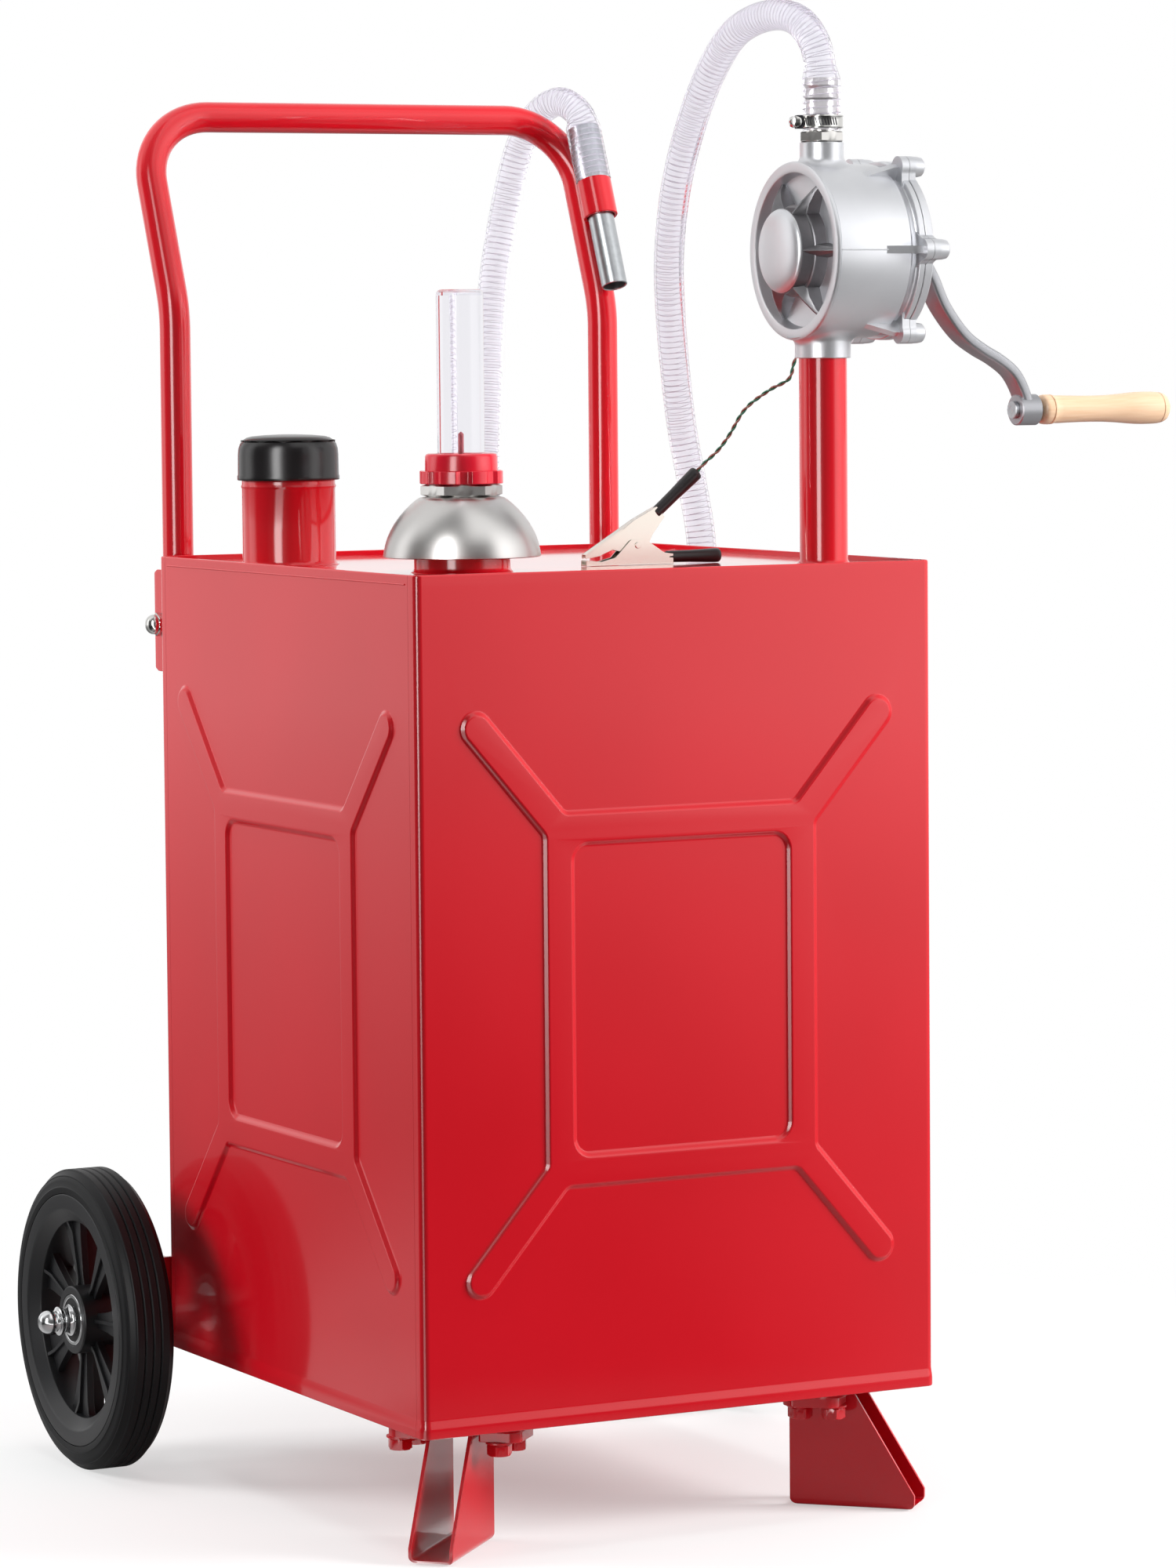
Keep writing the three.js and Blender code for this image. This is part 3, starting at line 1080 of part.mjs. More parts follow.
const cordSides = (radius) => radius / Math.cos(Math.PI / hose.ring);
const mainLengths = [0, barbSleeve, ...evenly(barbSleeve + hose.taper, split, hose.steps)];
const mainRadius = (i) => (mainLengths[i] <= barbSleeve ? hoseFull : hoseFree);
const barbRoom = cordSides(barb + fitting.ridge + seam);
piece("hose", "clearHose", cut(
  tubeAlong(stationsAt(hoseCurve, mainLengths), mainLengths.length - 1, hose.ring, mainRadius),
  at(riser, rodZ(barbRoom, outlet.top, barbTop + seam, 0, 0, hose.ring)),
));

const endLengths = [
  ...evenly(split + seam, nozzleSleeve - hose.taper, hose.endSteps), nozzleSleeve, hoseLong,
];
const endRadius = (i) => (endLengths[i] >= nozzleSleeve ? hoseFull : hoseFree);
const nozzleRoom = cordSides(nozzleOuter + seam);
piece("hose_end", "clearHose", cut(
  tubeAlong(stationsAt(hoseCurve, endLengths), endLengths.length - 1, hose.ring, endRadius),
  onHolster(rodZ(nozzleRoom, 0, nozzle.above + seam, 0, 0, hose.ring)),
));

const leadCurve = smoothRoute(leadRoute.map(([x, y, z], i) =>
  V3(x + sideShift * (1 - i / (leadRoute.length - 1)), y - rearShift, z + lift)));
piece("earth_lead", "leadCover", tubeAlong(leadCurve, lead.steps, lead.ring, () => lead.outer / 2));

// The clip lies on the top sheet with its pivot across it. Its lower half is a channel open at the top,
// and the upper half is a narrower channel that turns inside it.
const clipFloor = topSheetTop + seam;
const clipInner = clip.halfWide - clip.sheet;
const upperHalf = clipInner - seam;
const { x: clipX, z: clipZ } = clip.pivot;
const onClip = (geometry) => geometry.translate(clipX, clip.y - rearShift, clipZ);
const barrelAt = ({ x, z }, tilt) => turnedX([
  [0, 0], [clip.sleeve, 0], [clip.sleeve, clip.sleeveLength], [0, clip.sleeveLength],
], facets.small).rotateY(-tilt * degrees).translate(x, 0, z);
const floorZ = clipFloor - clipZ;
const lowerSide = outline(clip.lowerSide.map(([x, z, radius]) => [x, floorZ + z, radius]));
const lowerBody = cut(
  prismY(lowerSide, -clip.halfWide, clip.halfWide),
  box(clip.lowerSide[0][0] * 2, clip.lowerGrip, -clipInner, clipInner, floorZ + clip.sheet, clipZ),
);
const lowerSleeve = barrelAt({ x: clip.lowerGrip, z: floorZ + clip.sleeve }, 0);
const pinAcross = clip.halfWide + clip.sheet;
piece("clip_lower", "brightSteel", onClip(join(
  lowerBody, lowerSleeve, rodY(clip.pin, -pinAcross, pinAcross, 0, 0, facets.small))));
const upperBody = cut(
  prismY(outline(clip.upperSide), -upperHalf, upperHalf),
  prismY(outline(clip.upperHollow), -upperHalf + clip.sheet, upperHalf - clip.sheet),
);
piece("clip_upper", "brightSteel", onClip(cut(
  join(upperBody, barrelAt(clip.upperGrip, clip.upperTilt)),
  rodY(boreFor(clip.pin, runningFit, facets.small), -pinAcross, pinAcross, 0, 0, facets.small),
)));

// The middle of the rigid pieces, seen from above, is the origin. The hose and lead don't move it.
const cords = ["hose", "hose_end", "earth_lead"];
const reach = new THREE.Box3();
group.children.filter(({ name }) => !cords.includes(name)).forEach((mesh) => reach.expandByObject(mesh));
const middle = reach.getCenter(V3(0, 0, 0));
group.children.forEach((mesh) => mesh.geometry.translate(-middle.x, -middle.y, -reach.min.z));

export default group;
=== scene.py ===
# %% [markdown]
# # A fuel caddy, dressed in Blender
# The object is a wheeled steel tank for workshop fuel. It has pressed walls, a tubular push handle, a rotary
# hand pump with a crank, a float gauge in a clear tube, a screw cap, a clear hose and an earth lead.
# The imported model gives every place, so this script starts by loading it and keeps its box for the end.

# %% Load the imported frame
import math

import bmesh
import bpy
from mathutils import Matrix, Vector
from mathutils.geometry import tessellate_polygon


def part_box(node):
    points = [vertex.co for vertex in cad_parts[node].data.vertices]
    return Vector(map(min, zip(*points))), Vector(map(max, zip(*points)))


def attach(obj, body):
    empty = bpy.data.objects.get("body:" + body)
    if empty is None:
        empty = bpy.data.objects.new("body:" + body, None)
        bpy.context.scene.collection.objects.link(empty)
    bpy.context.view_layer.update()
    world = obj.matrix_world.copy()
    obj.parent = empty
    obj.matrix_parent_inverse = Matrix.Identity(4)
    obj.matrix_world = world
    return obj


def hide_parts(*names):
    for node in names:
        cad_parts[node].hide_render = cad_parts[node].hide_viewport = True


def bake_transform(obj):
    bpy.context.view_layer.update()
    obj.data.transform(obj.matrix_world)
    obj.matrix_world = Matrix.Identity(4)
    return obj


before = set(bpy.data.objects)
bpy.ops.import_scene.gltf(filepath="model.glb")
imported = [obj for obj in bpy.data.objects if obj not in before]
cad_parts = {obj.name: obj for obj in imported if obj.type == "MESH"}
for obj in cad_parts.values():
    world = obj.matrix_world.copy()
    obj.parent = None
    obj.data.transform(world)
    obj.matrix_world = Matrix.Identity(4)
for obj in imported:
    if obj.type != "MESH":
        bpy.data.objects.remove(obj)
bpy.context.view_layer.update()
scene = bpy.context.scene
scene.view_settings.view_transform = "Standard"

# %% [markdown]
# A designer measures this caddy from the middle of its tank, in millimetres, so the script does the same.
# The tank's front and rear walls give that middle, and one function turns such a place into the row frame.

# %% Measure from the middle of the tank
front_low, front_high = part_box("tank_front")
rear_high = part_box("tank_rear")[1]
tank_middle = Vector(((front_low.x + front_high.x) / 2, (front_low.y + rear_high.y) / 2, 0))


def row(x, y, z):
    """A place in tank millimetres, as a place in the row frame."""
    return tank_middle + Vector((x, y, z)) / 1000


print("middle of the tank", tank_middle)

# %% [markdown]
# The camera comes first, because the hose has to lie inside its view. It stands 4.6 m away with a long lens,
# as a catalogue photographer would stand, 28 degrees to the left of the front and a little above the tank.

# %% Camera
camera_data = bpy.data.cameras.new("camera")
camera_data.lens = 131.44
camera_data.sensor_width = 36
camera_data.clip_end = 60
camera = bpy.data.objects.new("camera", camera_data)
scene.collection.objects.link(camera)
scene.camera = camera


def camera_axes(yaw, pitch, roll):
    """The camera's right, up and back directions, from three angles in degrees."""
    yaw, pitch, roll = (math.radians(angle) for angle in (yaw, pitch, roll))
    back = Vector((math.sin(yaw) * math.cos(pitch), -math.cos(yaw) * math.cos(pitch), math.sin(pitch)))
    right = Vector((math.cos(yaw), math.sin(yaw), 0))
    up = back.cross(right)
    rolled_right = right * math.cos(roll) + up * math.sin(roll)
    rolled_up = up * math.cos(roll) - right * math.sin(roll)
    return Matrix((rolled_right, rolled_up, back)).transposed()


camera_turn = camera_axes(yaw=-27.80, pitch=4.53, roll=-0.50)
camera.matrix_world = Matrix.Translation(row(-2104.0, -4076.8, 933.3)) @ camera_turn.to_4x4()
print("camera at", camera.location)

# %% [markdown]
# Every finish below is a Principled shader that starts from the real material. Its colour is written as the
# sRGB value that a designer would read from a swatch, and one function turns it into the linear value that the
# renderer needs. One small function adds a node with its settings and its links.

# %% Colours and nodes


def linear(hex_colour):
    """An sRGB hex colour as linear red, green, blue and alpha. The numbers are those of the sRGB standard."""
    parts = [int(hex_colour[i : i + 2], 16) / 255 for i in (1, 3, 5)]
    return [p / 12.92 if p <= 0.04045 else ((p + 0.055) / 1.055) ** 2.4 for p in parts] + [1]


def add_node(tree, kind, inputs=None, **settings):
    """A new node. An input is a value, or a socket to link from."""
    node = tree.nodes.new(kind)
    for name, value in settings.items():
        setattr(node, name, value)
    for name, value in (inputs or {}).items():
        if isinstance(value, bpy.types.NodeSocket):
            tree.links.new(value, node.inputs[name])
        else:
            node.inputs[name].default_value = value
    return node


def new_finish(name, hex_colour, **sockets):
    """A material with its Principled shader set. Socket names are given with _ for each space."""
    finish = bpy.data.materials.new(name)
    finish.use_nodes = True
    shader = finish.node_tree.nodes["Principled BSDF"]
    shader.inputs["Base Color"].default_value = linear(hex_colour)
    for socket, value in sockets.items():
        shader.inputs[socket.replace("_", " ")].default_value = value
    return finish, finish.node_tree, shader


def grain(tree, size_mm, detail=2.0, squeeze=(1, 1, 1)):
    """Noise whose features are about size_mm across on the object. squeeze stretches it along an axis."""
    place = add_node(tree, "ShaderNodeTexCoord").outputs["Object"]
    scaled = add_node(tree, "ShaderNodeMapping", {"Vector": place, "Scale": squeeze}).outputs["Vector"]
    return add_node(tree, "ShaderNodeTexNoise", {"Vector": scaled, "Scale": 1000 / size_mm, "Detail": detail})


def bumped(tree, shader, height, depth_mm, strength=1.0):
    """Raises and sinks the surface by depth_mm where height goes from 0 to 1."""
    bump = add_node(
        tree, "ShaderNodeBump", {"Height": height, "Distance": depth_mm / 1000, "Strength": strength}
    )
    tree.links.new(bump.outputs["Normal"], shader.inputs["Normal"])
    return bump


def tinted(tree, shader, factor, dark, light):
    """The colour goes from dark to light with factor."""
    ramp = add_node(tree, "ShaderNodeValToRGB", {"Fac": factor})
    ramp.color_ramp.elements[0].color = linear(dark)
    ramp.color_ramp.elements[1].color = linear(light)
    tree.links.new(ramp.outputs["Color"], shader.inputs["Base Color"])
    return ramp


print("a middle grey swatch in linear light", linear("#808080")[0])

# %% [markdown]
# Shapes are plain lists of points and faces in tank millimetres. Later cells add a helper for each way in which
# such a product is made: turned on a lathe, cut from plate, bent from tube, or drawn round a corner. A shape only
# becomes a Blender object when make_piece gives it a finish and a body to ride on.

# %% Shapes


def joined(*shapes):
    """Several shapes as one."""
    points, faces = [], []
    for more_points, more_faces in shapes:
        first = len(points)
        points += [Vector(p) for p in more_points]
        faces += [[first + i for i in face] for face in more_faces]
    return points, faces


def moved(shape, *matrices):
    """The shape after each matrix in turn."""
    points = [Vector(p) for p in shape[0]]
    for matrix in matrices:
        points = [matrix @ p for p in points]
    return points, shape[1]


def shift(x, y, z):
    return Matrix.Translation((x, y, z))


def turn(angle, axis):
    return Matrix.Rotation(math.radians(angle), 4, axis)


to_x = turn(90, "Y")  # a shape drawn along Z then lies along X
print("a point on Z, once it lies along X", moved(([(0, 0, 1)], []), to_x)[0])

# %% [markdown]
# Each object gets smooth shading with its true corners kept sharp, and a small bevel where the real edge has
# one, because no real edge is a knife edge and the glint along it is what the eye reads as metal or plastic.

# %% From a shape to a piece


def make_piece(name, shape, finish, slot, body="caddy", stands_for=(), sharp=32, bevel=0.0, bend=None, flat=False):
    """An object in the row frame, with its finish, that rides on a body and stands for the named nodes.
    A soft piece that crosses a joint is given a bend, and is then left in the row frame without a body; the bodies and
    places in the bend are not used.
    A flat piece is shaded by its large faces, so that they stay even beside small round ones."""
    mesh = bpy.data.meshes.new(name)
    mesh.from_pydata([row(*p) for p in shape[0]], [], shape[1])
    tidy = bmesh.new()
    tidy.from_mesh(mesh)
    bmesh.ops.remove_doubles(tidy, verts=tidy.verts, dist=1e-6)
    bmesh.ops.recalc_face_normals(tidy, faces=tidy.faces)
    tidy.to_mesh(mesh)
    tidy.free()
    mesh.materials.append(finish)
    mesh.polygons.foreach_set("use_smooth", [True] * len(mesh.polygons))
    mesh.set_sharp_from_angle(angle=math.radians(sharp))
    piece = bpy.data.objects.new(name, mesh)
    scene.collection.objects.link(piece)
    if bevel:
        edge = piece.modifiers.new("edge", "BEVEL")
        edge.width = bevel / 1000
        edge.segments = 2
        edge.limit_method = "ANGLE"
        edge.angle_limit = math.radians(sharp)
        edge.harden_normals = True
    if flat:
        even = piece.modifiers.new("even", "WEIGHTED_NORMAL")
        even.keep_sharp = True
        even.weight = 100
    if bend:
        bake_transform(piece)
    else:
        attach(piece, body)
    if stands_for:
        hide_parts(*stands_for)
    print(name, len(mesh.polygons), "faces")
    return piece


def dress(finish, *nodes):
    """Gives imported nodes, whose shape is right as it is, a finish."""
    for node in nodes:
        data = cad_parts[node].data
        data.materials.clear()
        data.materials.append(finish)
        print(node, "is given", finish.name)


# %% [markdown]
# Clear PVC hose is soft, so its surface is a little uneven, and its wall carries a fine spiral thread every
# 5 mm. It looks milky and faintly lilac at the edges, where the light crosses the most plastic.
# A transmissive shader gives that, with a low IOR that stands for a wall with air inside.

# %% Clear PVC and its thread
clear_pvc, tree, shader = new_finish(
    "clear_pvc", "#F6F5F9", Roughness=0.18, IOR=1.1, Transmission_Weight=0.95
)
bumped(tree, shader, grain(tree, 9, 1.0).outputs["Fac"], 0.12, 0.5)

spiral_thread, tree, shader = new_finish(
    "spiral_thread", "#CFC8D5", Roughness=0.5, IOR=1.2, Transmission_Weight=0.25
)
tinted(tree, shader, grain(tree, 14).outputs["Fac"], "#C4BCCB", "#DFDAE4")
print("hose finishes", clear_pvc.name, spiral_thread.name)

# %% [markdown]
# A hose, a bent tube, a rod and a wire are all made in one way: a section is carried along a line. The section must
# not twist on its way, so each point's directions are those of the point before, turned just as the line turns.

# %% Sweep a section along a line


def frames_along(path):
    """Two directions across the path at each point, turned no more than the path itself turns."""
    ahead = [(path[min(i + 1, len(path) - 1)] - path[max(i - 1, 0)]).normalized() for i in range(len(path))]
    side = ahead[0].orthogonal().normalized()
    frames = [(side, ahead[0].cross(side))]
    for before, here in zip(ahead, ahead[1:]):
        side = before.rotation_difference(here) @ frames[-1][0]
        side = (side - here * side.dot(here)).normalized()
        frames.append((side, here.cross(side)))
    return frames


def swept(path, sections, ends=True, frames=None):
    """A skin through one section at each point of the path. A section is a list of (x, y) pairs."""
    frames = frames or frames_along(path)
    count = len(sections[0])
    points, faces = [], []
    for place, (side, up), section in zip(path, frames, sections):
        points += [place + side * x + up * y for x, y in section]
    for i in range(len(path) - 1):
        for k in range(count):
            n = (k + 1) % count
            faces.append([i * count + k, i * count + n, (i + 1) * count + n, (i + 1) * count + k])
    if ends:
        faces.append(list(range(count))[::-1])
        faces.append([(len(path) - 1) * count + k for k in range(count)])
    return points, faces


def ring_section(radius, sides):
    angles = [2 * math.pi * k / sides for k in range(sides)]
    return [(radius * math.cos(a), radius * math.sin(a)) for a in angles]


def tube(path, radius, sides=32):
    """A round bar along the path."""
    return swept(path, [ring_section(radius, sides)] * len(path))


print("points round a 12-sided section", len(ring_section(1, 12)))

# %% [markdown]
# The hose is 2.5 m long with 3/4 inch bore, and 2.4 m of it is free. It leaves the pump's barb straight up, bends
# over, comes down the right side, hangs in a low loop behind the tank and rises over the handle to the nozzle. The
# route is a list of places in metres, with a smooth curve through them, the same as in the part's source.

# %% Hose route
hose_points = [
    (0.172, -0.163, 1.0885), (0.172, -0.163, 1.125), (0.170, -0.159, 1.153), (0.169, -0.138, 1.173),
    (0.169, -0.098, 1.182), (0.170, -0.032, 1.172), (0.172, 0.017, 1.140), (0.175, 0.063, 1.087),
    (0.178, 0.089, 1.043), (0.187, 0.116, 0.992), (0.200, 0.138, 0.947), (0.215, 0.157, 0.894),
    (0.227, 0.168, 0.848), (0.237, 0.169, 0.801), (0.245, 0.169, 0.753), (0.249, 0.178, 0.690),
    (0.250, 0.205, 0.605), (0.238, 0.258, 0.510), (0.222, 0.276, 0.425), (0.210, 0.280, 0.330),
    (0.185, 0.280, 0.245), (0.125, 0.280, 0.188), (0.050, 0.282, 0.192), (0.008, 0.286, 0.265),
    (0.010, 0.294, 0.380), (0.050, 0.304, 0.520), (0.093, 0.318, 0.650), (0.123, 0.335, 0.753),
    (0.133, 0.352, 0.813), (0.144, 0.368, 0.881), (0.153, 0.380, 0.938), (0.161, 0.387, 0.982),
    (0.171, 0.390, 1.027), (0.178, 0.387, 1.063), (0.183, 0.377, 1.094), (0.189, 0.361, 1.117),
    (0.193, 0.340, 1.128), (0.196, 0.318, 1.129),
]
handle_half, handle_back, knee_height, handle_radius = 199, 257.5, 953, 12.7
lean_angle, holster_up, holster_radius, holster_half, nozzle_above = 22, 88, 14.7, 16.5, 66
lean = math.radians(lean_angle)
lean_up = Vector((0, math.sin(lean), math.cos(lean)))
lean_front = Vector((0, -lean_up.z, lean_up.y))
knee = Vector((handle_half, handle_back, knee_height))
holster_middle = knee + lean_up * holster_up + lean_front * (handle_radius + 0.3 + holster_radius)
nozzle_places = [holster_middle + lean_up * up for up in (nozzle_above + 10, nozzle_above, 16.8)]


def smooth_line(points, spacing):
    """Even points along a centripetal spline through the given ones, and the spline's length."""
    points = [Vector(p) for p in points]
    padded = [points[0] * 2 - points[1]] + points + [points[-1] * 2 - points[-2]]
    dense = []
    for p0, p1, p2, p3 in zip(padded, padded[1:], padded[2:], padded[3:]):
        t0 = 0
        t1 = t0 + math.sqrt((p1 - p0).length)
        t2 = t1 + math.sqrt((p2 - p1).length)
        t3 = t2 + math.sqrt((p3 - p2).length)
        for k in range(24):
            t = t1 + (t2 - t1) * k / 24
            a1 = p0 * ((t1 - t) / (t1 - t0)) + p1 * ((t - t0) / (t1 - t0))
            a2 = p1 * ((t2 - t) / (t2 - t1)) + p2 * ((t - t1) / (t2 - t1))
            a3 = p2 * ((t3 - t) / (t3 - t2)) + p3 * ((t - t2) / (t3 - t2))
            b1 = a1 * ((t2 - t) / (t2 - t0)) + a2 * ((t - t0) / (t2 - t0))
            b2 = a2 * ((t3 - t) / (t3 - t1)) + a3 * ((t - t1) / (t3 - t1))
            dense.append(b1 * ((t2 - t) / (t2 - t1)) + b2 * ((t - t1) / (t2 - t1)))
    dense.append(points[-1])
    lengths = [0]
    for a, b in zip(dense, dense[1:]):
        lengths.append(lengths[-1] + (b - a).length)
    count = max(2, round(lengths[-1] / spacing))
    line, i = [], 0
    for k in range(count + 1):
        want = lengths[-1] * k / count
        while i < len(dense) - 2 and lengths[i + 1] < want:
            i += 1
        step = (want - lengths[i]) / max(lengths[i + 1] - lengths[i], 1e-9)
        line.append(dense[i].lerp(dense[i + 1], min(max(step, 0), 1)))
    return line, lengths[-1]


hose_line, hose_length = smooth_line([Vector(p) * 1000 for p in hose_points] + nozzle_places, 5)
hose_frames = frames_along(hose_line)
hose_step = hose_length / (len(hose_line) - 1)
print("hose length", round(hose_length), "mm")

# %% [markdown]
# The hose is stretched from 25 to 30 mm over the barb and the nozzle. The last 400 mm is a piece of its own,
# because it bends when the nozzle is pulled out of its holster. Both pieces are cut from one line, so they meet
# without a step. A tube with an inner wall refracts as a real hose does. The thread is a helix inside the wall.

# %% Hose
barb_top, hose_start = 1129.3, 1088.5
barb_sleeve = barb_top - hose_start
nozzle_sleeve = hose_length - (nozzle_above - holster_half)
end_length, free_radius, stretch, swell, wall_thickness = 400, 12.5, 2.5, 9, 3
split_at = round((hose_length - end_length) / hose_step)


def hose_radius(i):
    """The outer radius, which swells onto the barb and the nozzle."""
    here = i * hose_step
    onto = max(1 - max(here - barb_sleeve, 0) / swell, 1 - max(nozzle_sleeve - here, 0) / swell, 0)
    return free_radius + stretch * onto * onto * (3 - 2 * onto)


def hose_wall(first, last, offset, sides):
    places = hose_line[first : last + 1]
    sections = [ring_section(hose_radius(i) + offset, sides) for i in range(first, last + 1)]
    return swept(places, sections, ends=False, frames=hose_frames[first : last + 1])


def helix(first, last, offset, pitch, thread, sides=4, turn_steps=12):
    """A thread wound inside the hose's wall, from one point of its line to another."""
    path = []
    turns = (last - first) * hose_step / pitch
    for k in range(int(turns * turn_steps) + 1):
        where = first + k / (turns * turn_steps) * (last - first)
        i = min(int(where), last - 1)
        share = where - i
        place = hose_line[i].lerp(hose_line[i + 1], share)
        side, up = (a.lerp(b, share) for a, b in zip(hose_frames[i], hose_frames[i + 1]))
        angle = 2 * math.pi * (i + share) * hose_step / pitch
        radius = hose_radius(i) + offset
        path.append(place + (side * math.cos(angle) + up * math.sin(angle)) * radius)
    return tube(path, thread, sides)


def hose_piece(name, first, last, bend=None, **facts):
    skin = joined(hose_wall(first, last, 0, 32), hose_wall(first, last, -wall_thickness, 24))
    piece = make_piece("clear_" + name, skin, clear_pvc, "clear_hose", stands_for=[name], sharp=60, bend=bend)
    return piece


thread_depth, thread_pitch, thread_radius = 1.6, 5, 0.3


def hose_thread(name, first, last, bend=None):
    thread = helix(first, last, -thread_depth, thread_pitch, thread_radius)
    return make_piece(name, thread, spiral_thread, "clear_hose", sharp=60, bend=bend)


last_point = len(hose_line) - 1
pull = ("caddy", "nozzle", row(*hose_line[split_at]), row(*nozzle_places[1]))
thread_main = hose_thread("hose_thread", 0, split_at)
thread_end = hose_thread("hose_end_thread", split_at, last_point, bend=pull)
hose_piece("hose", 0, split_at, far_end="object", with_pieces=[thread_main])
print("hose split at", round(split_at * hose_step), "mm of", round(hose_length))

# %% [markdown]
# Round parts are turned on a lathe, and so are they here: half of the part's section is drawn as (radius, height)
# pairs and turned about Z. Every true edge is given as a small chamfer of two points, because that is what shines.

# %% Lathe


def lathe(profile, segments=96, closed=False):
    """A profile of (radius, height) pairs, turned about Z. A closed profile makes a ring."""
    points, rings, faces = [], [], []
    for radius, height in profile:
        count = segments if radius > 1e-6 else 1
        rings.append([len(points) + k for k in range(count)])
        for k in range(count):
            a = 2 * math.pi * k / segments
            points.append((radius * math.cos(a), radius * math.sin(a), height))
    pairs = list(zip(rings, rings[1:])) + ([(rings[-1], rings[0])] if closed else [])
    for low, high in pairs:
        for k in range(segments):
            corners = (low[k % len(low)], low[(k + 1) % len(low)], high[(k + 1) % len(high)], high[k % len(high)])
            face = list(dict.fromkeys(corners))
            if len(face) > 2:
                faces.append(face)
    return points, faces


print("faces of a turned ring", len(lathe([(1, 0), (2, 0), (2, 1), (1, 1)], closed=True)[1]))

# %% [markdown]
# The nozzle is a plain zinc-plated tube with its open end cut square. It stands in a short red sleeve welded to
# the handle, and leans with it. Zinc plate is a soft grey metal, with faint lighter and darker spots.

# %% Nozzle and its holster
zinc, tree, shader = new_finish("zinc_plated_steel", "#B9BDC0", Metallic=1.0, Roughness=0.3)
spots = grain(tree, 5, 3.0).outputs["Fac"]
tinted(tree, shader, spots, "#A7ABAF", "#C9CCCE")
bumped(tree, shader, spots, 0.01, 0.4)


def leaning(shape):
    """A shape drawn upright round the holster's middle, leant back with the handle."""
    return moved(shape, turn(-lean_angle, "X"), Matrix.Translation(holster_middle))


nozzle_profile = [(9.5, -79.4), (9.9, -80), (10.6, -80), (11, -79.6), (11, 66), (9.5, 66)]
nozzle = make_piece("zinc_nozzle", leaning(lathe(nozzle_profile, 64, closed=True)), zinc, "zinc", "nozzle",
                    stands_for=["nozzle_tube"])
hose_piece("hose_end", split_at, last_point, bend=pull, far_end="tool", with_pieces=[thread_end, nozzle])

# %% [markdown]
# The tank is sheet steel, sprayed with red gloss enamel and baked. Enamel isn't a mirror: it has a faint orange
# peel about 6 mm across, which breaks up reflections a little, and a clear outer skin that gives sharp glints.

# %% Gloss red enamel
red_enamel, tree, shader = new_finish(
    "gloss_red_enamel", "#C20A1A", Roughness=0.35, Specular_IOR_Level=0.12, Coat_Weight=1.0,
    Coat_Roughness=0.07, Coat_IOR=1.5
)
peel = grain(tree, 6, 1.0).outputs["Fac"]
bump = bumped(tree, shader, peel, 0.012, 0.5)
tree.links.new(bump.outputs["Normal"], shader.inputs["Coat Normal"])
tinted(tree, shader, grain(tree, 140, 1.0).outputs["Fac"], "#BA0817", "#C60D1E")
print("enamel", red_enamel.name)

# %% [markdown]
# Pressed and folded sheet has no sharp corners. Its outlines are given by their corners, each with its radius, and
# one function puts the arcs in.

# %% Round the corners of a line


def rounded(corners, closed=True, steps=6):
    """A line through (x, y) or (x, y, radius) corners, with a round arc at each corner that has a radius."""
    line = []
    for i, corner in enumerate(corners):
        here = Vector(corner[:2])
        inner = closed or 0 < i < len(corners) - 1
        if len(corner) < 3 or not inner:
            line.append(here)
            continue
        before = (Vector(corners[i - 1][:2]) - here).normalized()
        after = (Vector(corners[(i + 1) % len(corners)][:2]) - here).normalized()
        half = before.angle(after) / 2
        centre = here + (before + after).normalized() * corner[2] / math.sin(half)
        start = here + before * corner[2] / math.tan(half) - centre
        end = here + after * corner[2] / math.tan(half) - centre
        first = math.atan2(start.y, start.x)
        swing = (math.atan2(end.y, end.x) - first + math.pi) % (2 * math.pi) - math.pi
        for k in range(steps + 1):
            a = first + swing * k / steps
            line.append(centre + Vector((math.cos(a), math.sin(a))) * corner[2])
    return line


print("points of a square with round corners", len(rounded([(0, 0, 1), (9, 0, 1), (9, 9, 1), (0, 9, 1)])))

# %% [markdown]
# Each wall has a pressed cross that stiffens it: a raised band in the form of a rectangle, with an arm running out
# to each corner. The slopes of the band are modelled as rows of lines beside its outline, so that they run
# smoothly round each corner and catch a thin highlight. The flat parts are filled in between.

# %% Outline of the pressed cross
press_slope = [(-1, 0), (-0.2, 0.14), (0.6, 0.62), (1.5, 1.5), (2.4, 2.38), (3.2, 2.86), (4, 3)]
half_band, band_height = 13.25, 3
end_ring, end_tip = Vector((119.5, 144.5)), Vector((175, 210))
side_ring, side_tip = Vector((130, 144.5)), Vector((187, 210))


def beside(line, distance):
    """A closed line, drawn anticlockwise, moved inwards by a distance."""
    result = []
    for i, here in enumerate(line):
        into = (here - line[i - 1]).normalized()
        out = (line[(i + 1) % len(line)] - here).normalized()
        ahead = (into + out).normalized()
        result.append(here + Vector((-ahead.y, ahead.x)) * distance / max(into.dot(ahead), 0.5))
    return result


def cross_outline(ring, tip):
    """The outer line of the band, from the ring's corner and the middle of an arm's tip."""
    root = ring - Vector((half_band, half_band))
    along = (tip - root).normalized()
    across = Vector((along.y, -along.x)) * half_band
    low = root + across
    low += along * (ring.x - low.x) / along.x
    high = root - across
    high += along * (ring.y - high.y) / along.y
    quarter = [(low.x, low.y, 7)]
    for k in range(17):
        a = math.pi * k / 16
        place = tip + across * math.cos(a) + along * half_band * math.sin(a)
        quarter.append((place.x, place.y))
    quarter.append((high.x, high.y, 7))
    corners = []
    for sign_x, sign_y in ((1, 1), (-1, 1), (-1, -1), (1, -1)):
        part = [(c[0] * sign_x, c[1] * sign_y, *c[2:]) for c in quarter]
        corners += part if sign_x * sign_y > 0 else part[::-1]
    return rounded(corners)


print("points round a cross", len(cross_outline(end_ring, end_tip)))

